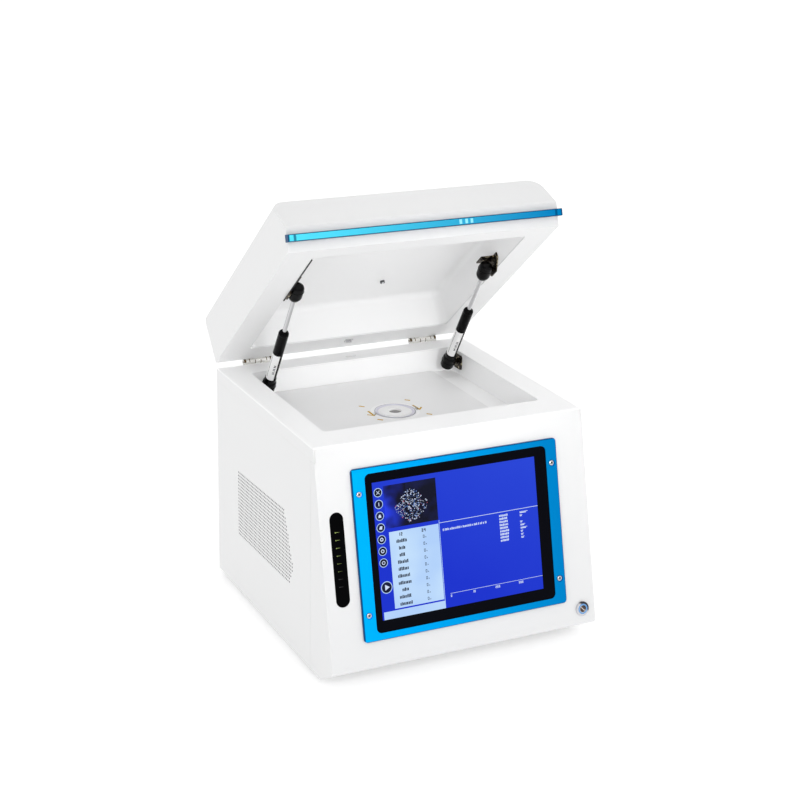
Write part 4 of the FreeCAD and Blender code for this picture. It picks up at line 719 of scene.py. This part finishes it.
# The chart's legend: a word in each row and, in all but one, an upper and a lower bar.
for row, width in enumerate(LEGEND_VALUES):
    y = LEGEND_Y + row * LEGEND_STEP
    x = LEGEND_X[0]
    while x < LEGEND_X[1]:
        step = random.choice((1.3, 1.8, 2.3))
        patch(white, x, x + step * 0.74, y + random.choice((0.0, 0.4)), y + 2.9, 2)
        x += step
    if width:
        patch(white, LEGEND_VALUE_X, LEGEND_VALUE_X + width, y + 0.3, y + 1.0, 2)
        patch(white, LEGEND_VALUE_X + 0.4, LEGEND_VALUE_X + width * 0.8, y + 1.4, y + 2.6, 2)
patch(white, AXIS_LEFT, SCREEN_W, *AXIS_Y, 2)
for place, text in AXIS_MARKS:
    digits(white, text, place, AXIS_DIGITS_Y, AXIS_DIGITS_H, 2, 0.2)

screen_dark = glowing("screen_navy", tint(8, 12, 40))
patches = screen_dark.ramp(screen_dark.grain(30.0), 0.45, 0.7)
screen_dark.lit(tint(6, 9, 30), 1.0, tint(20, 26, 74), patches)
finished("screen_dark_parts", dark, screen_dark, "cabinet")
screen_pale = glowing("screen_pale", tint(176, 208, 250), tint(198, 226, 252))
finished("screen_pale_parts", pale, screen_pale, "cabinet")
finished("screen_white_parts", white, glowing("screen_white", tint(214, 228, 255)), "cabinet")
finished("screen_ink", ink, glowing("screen_ink", tint(12, 15, 34)), "cabinet")

# The camera's view: a dark ground with blue glows at its left and a loose cluster of bright chips.
GLOW_W = 32
GLOW_FADE = 30
CHIPS = 420
CLUSTER_X, CLUSTER_Y = 54.0, 38.5
CLUSTER_W, CLUSTER_H = 23.5, 22.5
CORNER_W, CORNER_H, CORNER_CUT = 24.5, 25.0, 1.12
CHIP_TURNS = (0.0, 1.9, 3.3, 4.7)

glow = bmesh.new()
patch(glow, VIEW_X[0], VIEW_X[0] + GLOW_W, *VIEW_Y, 3)
glow_blue = glowing("screen_glow", tint(30, 52, 190))
view_left = (SCREEN_LEFT + VIEW_X[0]) * MM
leftwards = 1 - glow_blue.ramp(glow_blue.along(1, 0, 0), view_left, view_left + GLOW_FADE * MM)
spots = leftwards * glow_blue.ramp(glow_blue.grain(30.0), 0.36, 0.6)
glow_blue.lit(tint(6, 8, 34), 1.0, tint(36, 62, 236), spots)
finished("screen_view_glow", glow, glow_blue, "cabinet")
chips = {name: bmesh.new() for name in ("pale", "blue", "rose")}
for i in range(CHIPS):
    angle = random.uniform(0, 2 * math.pi)
    reach = random.uniform(0.02, 1.0) ** 0.6
    x = CLUSTER_X + CLUSTER_W * reach * math.cos(angle)
    y = CLUSTER_Y + CLUSTER_H * reach * math.sin(angle)
    if abs(x - CLUSTER_X) / CORNER_W + abs(y - CLUSTER_Y) / CORNER_H > CORNER_CUT:
        continue
    size = random.uniform(0.4, 1.15)
    kind = "pale" if random.random() < 0.55 else "blue" if random.random() < 0.9 else "rose"
    tilt = random.uniform(0, math.pi)
    outline = [(x + size * math.cos(tilt - turn), y + 0.8 * size * math.sin(tilt - turn))
               for turn in CHIP_TURNS]
    prism(chips[kind], outline, -LAYER / 2, 0, on_screen(4 + i % 3))
for kind, colour in (("pale", tint(205, 216, 240)), ("blue", tint(84, 116, 178)),
                     ("rose", tint(206, 96, 120))):
    finished("screen_chips_" + kind, chips[kind], glowing("chip_" + kind, colour), "cabinet")


# Indicator: a glossy black capsule window let into the front. Behind it a row of eight small
# marks glows yellow-green and fades downwards.
LENS_FACE = 0.4
LAMP_X, LAMP_DOWN, LAMP_STEP = -176.3, 113.5, 10.3
LAMP_SHADES = (1.0, 0.9, 0.8, 0.6, 0.45, 0.32, 0.2, 0.2)
LAMPS_GREEN = 6
LAMP_GLOW = 0.8
DOT_X, DOT_R = -2.6, 0.75
LAMP_DOT = [(DOT_X + DOT_R * math.cos(k * math.pi / 5), DOT_R * math.sin(k * math.pi / 5))
            for k in range(10)]
LAMP_DASH = [(-1.5, -0.28), (2.6, -0.12), (2.6, 0.12), (-1.5, 0.28)]

lens_black = Finish("lens_black", tint(1, 1, 2), 0.10, specular=0.03).mottled(0.1, 60.0, 0.03)
dressed("indicator_lens", lens_black)
for i, shade in enumerate(LAMP_SHADES):
    hue = tint(190, 214, 120) if i < LAMPS_GREEN else tint(150, 150, 150)
    mark = bmesh.new()
    place = Vector((LAMP_X, -LAMP_DOWN - LAMP_STEP * i, LENS_FACE)) * MM
    for outline in (LAMP_DOT, LAMP_DASH):
        prism(mark, outline, 0, 0.02, on_front @ Matrix.Translation(place))
    glow = glowing("mark_glow_%d" % (i + 1), tuple(c * shade * LAMP_GLOW for c in hue))
    finished("indicator_mark_%d" % (i + 1), mark, glow, "cabinet")


# Power button: a bevelled stainless head with a pale blue lit ring and a dark brown cap that
# sinks, with a pale streak across it as a painted reflection. The nut behind the front holds it.
CAP_GLINT = [(-3.7, -0.45), (3.7, -0.45), (3.7, 0.45), (-3.7, 0.45)]
# The head's upper right side is painted dark: a painted reflection of something dark.
UP_RIGHT = (0.7, 0, 0.7)
DARK_FROM, DARK_TO = 0.003, 0.006

button_lo, button_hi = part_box("button_housing")
button_at = (button_lo + button_hi).dot(Vector(UP_RIGHT)) / 2
steel = Finish("button_steel", (0.40, 0.41, 0.43), 0.16, metallic=1.0)
head_painted_reflection = steel.ramp(steel.along(*UP_RIGHT), button_at + DARK_FROM, button_at + DARK_TO)
steel.feed({"Base Color": steel.blend(head_painted_reflection, (0.62, 0.62, 0.64), (0.05, 0.05, 0.06)),
            "Roughness": 0.14 + steel.grain(600.0) * 0.06})
dressed("button_housing", steel)
ring_light = Finish("ring_light", tint(96, 150, 205), 0.35).mottled(0.04, 400.0)
ring_light.lit(tint(70, 130, 190), 0.06, tint(110, 170, 220), ring_light.grain(500.0))
dressed("button_light_ring", ring_light)
cap_brown = Finish("cap_brown", tint(70, 56, 50), 0.25, specular=0.4).mottled(0.1, 300.0)
dressed("power_button_cap", cap_brown)
front_normal = on_front.to_3x3() @ Vector((0, 0, 1))
cap_points = [vertex.co for vertex in cad["power_button_cap"].data.vertices]
cap_face = max(point.dot(front_normal) for point in cap_points)
cap_lo, cap_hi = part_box("power_button_cap")
cap_middle = (cap_lo + cap_hi) / 2
cap_middle += front_normal * (cap_face - cap_middle.dot(front_normal))
on_cap = Matrix.Translation(cap_middle) @ on_front.to_3x3().to_4x4()
# A pale streak across the cap: a painted reflection.
line = bmesh.new()
prism(line, CAP_GLINT, -0.1, 0.06, on_cap @ Matrix.Rotation(math.radians(-45), 4, "Z"))
cap_glint_pale = Finish("cap_line", tint(226, 214, 206), 0.35).mottled(0.04, 400.0)
finished("power_button_line", line, cap_glint_pale, cad["power_button_cap"]["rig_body"])


# Lid: one folded and welded shell in the same white coat, with a rolled brow, a leaning front
# band and a moulded white recess inside. At its left a thin dark strip along the rim's inner edge stands
# for the shadow in the gap there: painted shade.
RECESS_WHITE = (0.90, 0.901, 0.903)
LID_OPEN = math.radians(40)
GAP_SHADE_FROM, GAP_SHADE_TO = 205, 331
GAP_SHADE_W, GAP_SHADE_PROUD, GAP_SHADE_DEEP = 1.8, 0.8, 2
MOUTH_LIP = 10
LAMP_LENS_R = 1.9

hinge_at = Vector(joints["lid_hinge"]["pos_m"])
on_rim = Matrix.Translation(hinge_at) @ Matrix.Rotation(-LID_OPEN, 4, "X")
lid_coat = painted("lid_powder_coat", 0.36, 0.4)
dressed("lid_shell", lid_coat)
recess_coat = painted("recess_gloss_white", 0.34, 0.3, RECESS_WHITE)
dressed("lid_liner", recess_coat)
dressed("interlock_tongue", chrome)

rim_points = [on_rim.inverted() @ vertex.co for vertex in cad["lid_shell"].data.vertices]
rim_level = min(point.z for point in rim_points)
lid_back = max(point.y for point in rim_points)
mouth_points = [on_rim.inverted() @ vertex.co for vertex in cad["lid_liner"].data.vertices]
mouth_half = max(point.x for point in mouth_points) / MM - MOUTH_LIP
# A dark strip at the rim's left inner edge: painted shade for the gap there.
trim_black = Finish("trim_black", tint(20, 20, 22), 0.5, specular=0.2).mottled(0.1, 300.0)
x0, x1 = -mouth_half, -mouth_half + GAP_SHADE_W
y0, y1 = lid_back / MM - GAP_SHADE_TO, lid_back / MM - GAP_SHADE_FROM
gap_shade_strip = bmesh.new()
prism(gap_shade_strip, [(x0, y0), (x1, y0), (x1, y1), (x0, y1)],
      rim_level / MM - GAP_SHADE_PROUD, rim_level / MM + GAP_SHADE_DEEP, on_rim)
finished("recess_trim", gap_shade_strip, trim_black, "lid")

lamp_dark = Finish("lamp_dark", tint(70, 72, 74), 0.3).mottled(0.1, 500.0)
dressed("recess_lamp", lamp_dark)
lamp_points = [on_rim.inverted() @ vertex.co for vertex in cad["recess_lamp"].data.vertices]
lamp_face = min(point.z for point in lamp_points)
lamp_middle = sum(lamp_points, Vector()) / len(lamp_points)
lens_white = Finish("lamp_lens", (0.85, 0.86, 0.88), 0.2).mottled(0.03, 500.0)
lens_drop = bmesh.new()
lathe(lens_drop, [(0, -0.7), (LAMP_LENS_R * 0.6, -0.6), (LAMP_LENS_R, 0), (0, 0)],
      on_rim @ Matrix.Translation((lamp_middle.x, lamp_middle.y, lamp_face)), 24)
finished("recess_lamp_lens", lens_drop, lens_white, "lid")


# Pull bar: a square aluminium extrusion, anodised the same blue, screwed across the lid's
# front band from inside. End plugs close it, with dark seams where they meet it; its corners and
# ends are painted darker as painted shade. Three small light blocks are let in near its right end.
BAR_EDGE = 0.0011
PLUG_LEN = 0.0095

bar_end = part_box("handle_bar")[1].x
bar_points = [vertex.co for vertex in cad["handle_bar"].data.vertices]
band_points = [point for point in rim_points if point.z > rim_level + MM]
foot_points = [point for point in rim_points if point.z < rim_level + MM / 2]
lip = on_rim @ min(band_points, key=lambda point: point.y)
foot = on_rim @ min(foot_points, key=lambda point: point.y)
down_band = Vector((0, foot.y - lip.y, foot.z - lip.z)).normalized()
bar_span = [point.dot(down_band) for point in bar_points]
bar_centre = (min(bar_span) + max(bar_span)) / 2
bar_half = (max(bar_span) - min(bar_span)) / 2
bar_blue = Finish("bar_blue", tint(40, 190, 235), 0.3, metallic=1.0)
# The bar's face is painted lighter at the left and darker at the right: painted light.
bar_painted_light = bar_blue.ramp(bar_blue.along(1, 0, 0), -0.2, 0.2)
face_blue = bar_blue.blend(bar_painted_light, tint(86, 226, 250), tint(0, 132, 198))
# Its long corners and its ends are painted dark as painted shade; the seams at its end plugs are dark
# joints.
corner = bar_blue.ramp(abs(bar_blue.along(*down_band) - bar_centre),
                       bar_half - 1.4 * BAR_EDGE, bar_half - 0.6 * BAR_EDGE)
out = abs(bar_blue.along(1, 0, 0))
plug = bar_blue.ramp(abs(out - (bar_end - PLUG_LEN)), 2.2 * BAR_EDGE, BAR_EDGE)
tip = bar_blue.ramp(out, bar_end - 2.5 * BAR_EDGE, bar_end - BAR_EDGE)
painted_shade_and_plug_seam = corner.larger(tip).larger(plug * 0.75)
bar_blue.feed({"Base Color": bar_blue.blend(painted_shade_and_plug_seam, face_blue, tint(0, 66, 112)),
               "Roughness": 0.26 + bar_blue.grain(900.0) * 0.1})
dressed("handle_bar", bar_blue)
block_blue = Finish("light_block", tint(140, 225, 240), 0.3).mottled(0.05, 400.0)
dressed("handle_lights", block_blue)


# Hinges: two steel butt hinges on the back faces, bright nickel plated, with brass pins and brass rings at
# the ends of their barrels. Thin brown rings between the parts of their barrels stand for the shade in the
# gaps there, as painted shade; they show in the gap under the lid.
BARREL_R = 4.0
KNUCKLE_SHADE_T = 1.1
END_T = 3.4
BARREL_RINGS = 6
RING_IN, RING_OUT = BARREL_R - 0.6, BARREL_R + 0.12

plated = Finish("hinge_plate", (0.86, 0.85, 0.82), 0.3, metallic=0.7).mottled(0.12, 160.0, 0.15)
brass = Finish("hinge_brass", tint(92, 74, 44), 0.32, metallic=0.8).mottled(0.3, 300.0, 0.1)
for node in ("hinge_leaf_fixed_left", "hinge_leaf_fixed_right", "hinge_leaf_moving_left",
             "hinge_leaf_moving_right"):
    dressed(node, plated)
dressed("hinge_pins", brass)
# Brass rings at the barrels' ends and, between the barrel parts, thin rings as painted shade for the gaps.
ends_and_knuckle_shades = bmesh.new()
for side in ("left", "right"):
    leaf_lo, leaf_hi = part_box("hinge_leaf_fixed_" + side)
    length = leaf_hi.x - leaf_lo.x
    for i in range(BARREL_RINGS):
        thick = END_T if i in (0, BARREL_RINGS - 1) else KNUCKLE_SHADE_T
        x = leaf_lo.x + length * i / (BARREL_RINGS - 1)
        if i == 0:
            x += END_T * MM / 2
        if i == BARREL_RINGS - 1:
            x -= END_T * MM / 2
        at = Matrix.Translation((x, hinge_at.y, hinge_at.z)) @ Matrix.Rotation(math.pi / 2, 4, "Y")
        half = thick / 2
        lathe(ends_and_knuckle_shades, [(RING_IN, -half), (RING_OUT, -half), (RING_OUT, half), (RING_IN, half)], at, 32)
finished("hinge_bushes", ends_and_knuckle_shades, brass, "cabinet")


# Gas struts: a black painted pressure tube with a crimped top and a white printed label, a
# chromed rod and two moulded black ball sockets with spring clips. Pressed steel brackets,
# browned by their coating and with pale patches painted on as highlights, carry the ball studs.
# The label's heights and turns on the tube; three large signs and sixteen small lines on it,
# each sign of three strokes (its lower and upper edge and its two turns).
LABEL_Z = (19.6, 71.0)
LABEL_TURN = (-223, -84)
SIGNS, SIGN_Z, SIGN_STEP = 3, 33.0, 7.0
SIGN_STROKES = ((0, 1.2, -124, -96), (3.2, 4.4, -124, -96), (0, 4.4, -114, -106))
LINES, LINE_Z, LINE_STEP, LINE_H = 16, 24.0, 2.8, 1.7
LINE_TURN = (-176, -168)
TUBE_R = 7.5
SOCKET_R = 10.0
SOCKET_TAIL = 9.0
CLIP_R = 0.6
RECESS_WALL = 159.0
PLATE_T = 2.0
PRINTED = TUBE_R + 0.08
TUBE = [(0, 19), (TUBE_R, 19), (TUBE_R, 107.8), (7.2, 108.6), (7.2, 109.6), (TUBE_R, 110.4),
        (TUBE_R, 111.2), (7.2, 112.8), (6.4, 114.0), (5.2, 114.5), (3.3, 114.5), (3.3, 108.5),
        (0, 108.5)]
LOWER_SOCKET = [(0, -10.2), (6.2, -10.2), (8.9, -8.7), (SOCKET_R, -6.2), (SOCKET_R, 8.5), (9.3, 11.0),
                (8.3, 12.2), (8.3, 18.4), (7.7, 19.6), (0, 19.6)]
UPPER_SOCKET = [(0, -15.4), (4.6, -15.4), (7.4, -14.2), (9.3, -10.5), (SOCKET_R, -8.0),
                (SOCKET_R, 6.6), (9.0, 9.2), (6.4, 10.8), (0, 10.8)]
CLIP = [(SOCKET_R + CLIP_R * math.cos(k * math.pi / 4), 2.6 + CLIP_R * math.sin(k * math.pi / 4))
        for k in range(8)]
BRACKET_PLATE = [(18, 15.7), (18, 7.5), (8, -7.2), (-8, -7.2), (-24, 8.0), (-24, 15.7)]
BRACKET_FLANGE = [(4, 13.5), (4, 15.7), (-14, 15.7), (-14, 13.5)]
FLANGE_FROM = 138.0
STUD = [(0, 153.8), (2.8, 153.8), (2.8, RECESS_WALL - PLATE_T), (0, RECESS_WALL - PLATE_T)]

tube_black = Finish("strut_black", tint(3, 3, 4), 0.2, specular=0.07).mottled(0.1, 120.0)
tube_black.dented(tube_black.grain(900.0), 0.00003)
socket_black = Finish("socket_black", tint(3, 3, 4), 0.2, specular=0.14).mottled(0.12, 90.0)
rod_chrome = Finish("rod_chrome", (0.62, 0.62, 0.63), 0.10, metallic=1.0).mottled(0.03, 200.0)
label_white = Finish("label_white", tint(232, 232, 232), 0.45).mottled(0.03, 200.0)
label_ink = Finish("label_ink", tint(48, 48, 50), 0.5).mottled(0.1, 300.0)
bracket_steel = Finish("bracket_steel", tint(66, 58, 46), 0.22, metallic=1.0)
# Pale patches on the brown are painted highlights.
patchy = bracket_steel.ramp(bracket_steel.grain(170.0, 3.0), 0.56, 0.64)
bracket_brown_and_painted_glints = bracket_steel.blend(patchy, tint(50, 43, 34), tint(190, 178, 150))
bracket_steel.feed({"Base Color": bracket_brown_and_painted_glints,
                    "Roughness": 0.18 + bracket_steel.grain(500.0) * 0.2})


def wrap(shape, radius, thick, z0, z1, start, end, place, steps=36):
    """A thin curved patch on a tube, between two turns in degrees and two heights in millimetres."""
    rows = []
    outline = ((radius, z0), (radius + thick, z0), (radius + thick, z1), (radius, z1))
    for i in range(steps + 1):
        angle = math.radians(start + (end - start) * i / steps)
        turn = Vector((math.cos(angle), math.sin(angle), 0))
        spots = [place @ ((turn * r + Vector((0, 0, z))) * MM) for r, z in outline]
        rows.append([shape.verts.new(spot) for spot in spots])
    for a, b in zip(rows, rows[1:]):
        for k in range(4):
            shape.faces.new((a[k], b[k], b[(k + 1) % 4], a[(k + 1) % 4]))
    shape.faces.new(rows[0])
    shape.faces.new(rows[-1][::-1])


for side, way in (("left", -1), ("right", 1)):
    foot = Vector(joints["strut_%s_swing" % side]["pos_m"])
    axis = Vector(joints["strut_%s_stroke" % side]["axis"])
    lean_back = axis.cross(Vector((1, 0, 0)))
    strut_turn = Matrix((Vector((1, 0, 0)), lean_back, axis)).transposed()
    strut = Matrix.Translation(foot) @ strut_turn.to_4x4()

    tube = bmesh.new()
    lathe(tube, TUBE, strut, 64)
    finished("strut_tube_skin_" + side, tube, tube_black, "strut_" + side, ["strut_tube_" + side])
    dressed("strut_rod_" + side, rod_chrome)

    top_points = [vertex.co - foot for vertex in cad["strut_end_upper_" + side].data.vertices]
    open_len = max(point.dot(axis) for point in top_points)
    crown = strut @ Matrix.Translation((0, 0, open_len - SOCKET_TAIL * MM))
    ends = (("lower", strut, "strut_" + side, LOWER_SOCKET), ("upper", crown, "rod_" + side, UPPER_SOCKET))
    for level, at, body, outline in ends:
        socket = bmesh.new()
        lathe(socket, outline, at, 48)
        finished("strut_end_%s_skin_%s" % (level, side), socket, socket_black, body,
                 ["strut_end_%s_%s" % (level, side)], 25)
    for level, at, body, _ in ends:
        clip = bmesh.new()
        lathe(clip, CLIP, at, 48)
        finished("strut_clip_%s_%s" % (level, side), clip, tube_black, body)
    dressed("strut_bracket_lower_" + side, bracket_steel)

    bracket = bmesh.new()
    ball_at = crown.to_translation()
    on_wall = (Matrix.Translation((0, ball_at.y, ball_at.z)) @ Matrix.Rotation(-LID_OPEN, 4, "X")
               @ Matrix(((0, 0, way, 0), (way, 0, 0, 0), (0, 1, 0, 0), (0, 0, 0, 1))))
    for outline, near, far in ((BRACKET_PLATE, RECESS_WALL - PLATE_T, RECESS_WALL),
                               (BRACKET_FLANGE, FLANGE_FROM, RECESS_WALL - PLATE_T)):
        prism(bracket, [(way * a, b) for a, b in outline], near, far, on_wall)
    neck = Matrix.Translation((0, ball_at.y, ball_at.z)) @ Matrix.Rotation(way * math.pi / 2, 4, "Y")
    lathe(bracket, STUD, neck, 24)
    finished("strut_bracket_upper_skin_" + side, bracket, bracket_steel, "lid",
             ["strut_bracket_upper_" + side])

    label = bmesh.new()
    wrap(label, TUBE_R, 0.08, *LABEL_Z, *LABEL_TURN, strut)
    finished("strut_label_" + side, label, label_white, "strut_" + side)
    marks = bmesh.new()
    for i in range(SIGNS):
        z = SIGN_Z + i * SIGN_STEP
        for low, high, start, end in SIGN_STROKES:
            wrap(marks, PRINTED, 0.03, z + low, z + high, start, end, strut, 6)
    for i in range(LINES):
        z = LINE_Z + i * LINE_STEP
        wrap(marks, PRINTED, 0.03, z, z + LINE_H, *LINE_TURN, strut, 2)
    finished("strut_label_print_" + side, marks, label_ink, "strut_" + side)


# Back and inside: moulded black fan and sockets, a bright wire guard, painted supplies, a green
# circuit board, and the aluminium measuring head with its tube, detector and camera.
black_plastic = Finish("black_plastic", tint(28, 28, 30), 0.42, specular=0.35).mottled(0.1, 60.0)
black_plastic.dented(black_plastic.grain(1500.0), 0.00005)
for node in ("fan_housing", "fan_rotor", "power_inlet", "rocker_frame", "rocker_cap", "port_block",
             "interlock_switch", "sample_camera"):
    dressed(node, black_plastic)
dressed("fan_guard", chrome)
rubber = Finish("foot_rubber", tint(34, 34, 35), 0.75, specular=0.2).mottled(0.12, 80.0)
rubber.dented(rubber.grain(800.0), 0.0002)
dressed("feet", rubber)
cast = Finish("head_aluminium", (0.62, 0.63, 0.64), 0.38, metallic=1.0).mottled(0.08, 60.0)
for node in ("measuring_head", "xray_tube", "detector"):
    dressed(node, cast)
case_grey = Finish("case_steel", (0.45, 0.46, 0.47), 0.4, metallic=0.8).mottled(0.08, 40.0)
for node in ("high_voltage_supply", "power_supply", "display_module"):
    dressed(node, case_grey)
board_green = Finish("board_green", tint(28, 92, 60), 0.45).mottled(0.2, 150.0)
for node in ("main_board", "indicator_lights"):
    dressed(node, board_green)
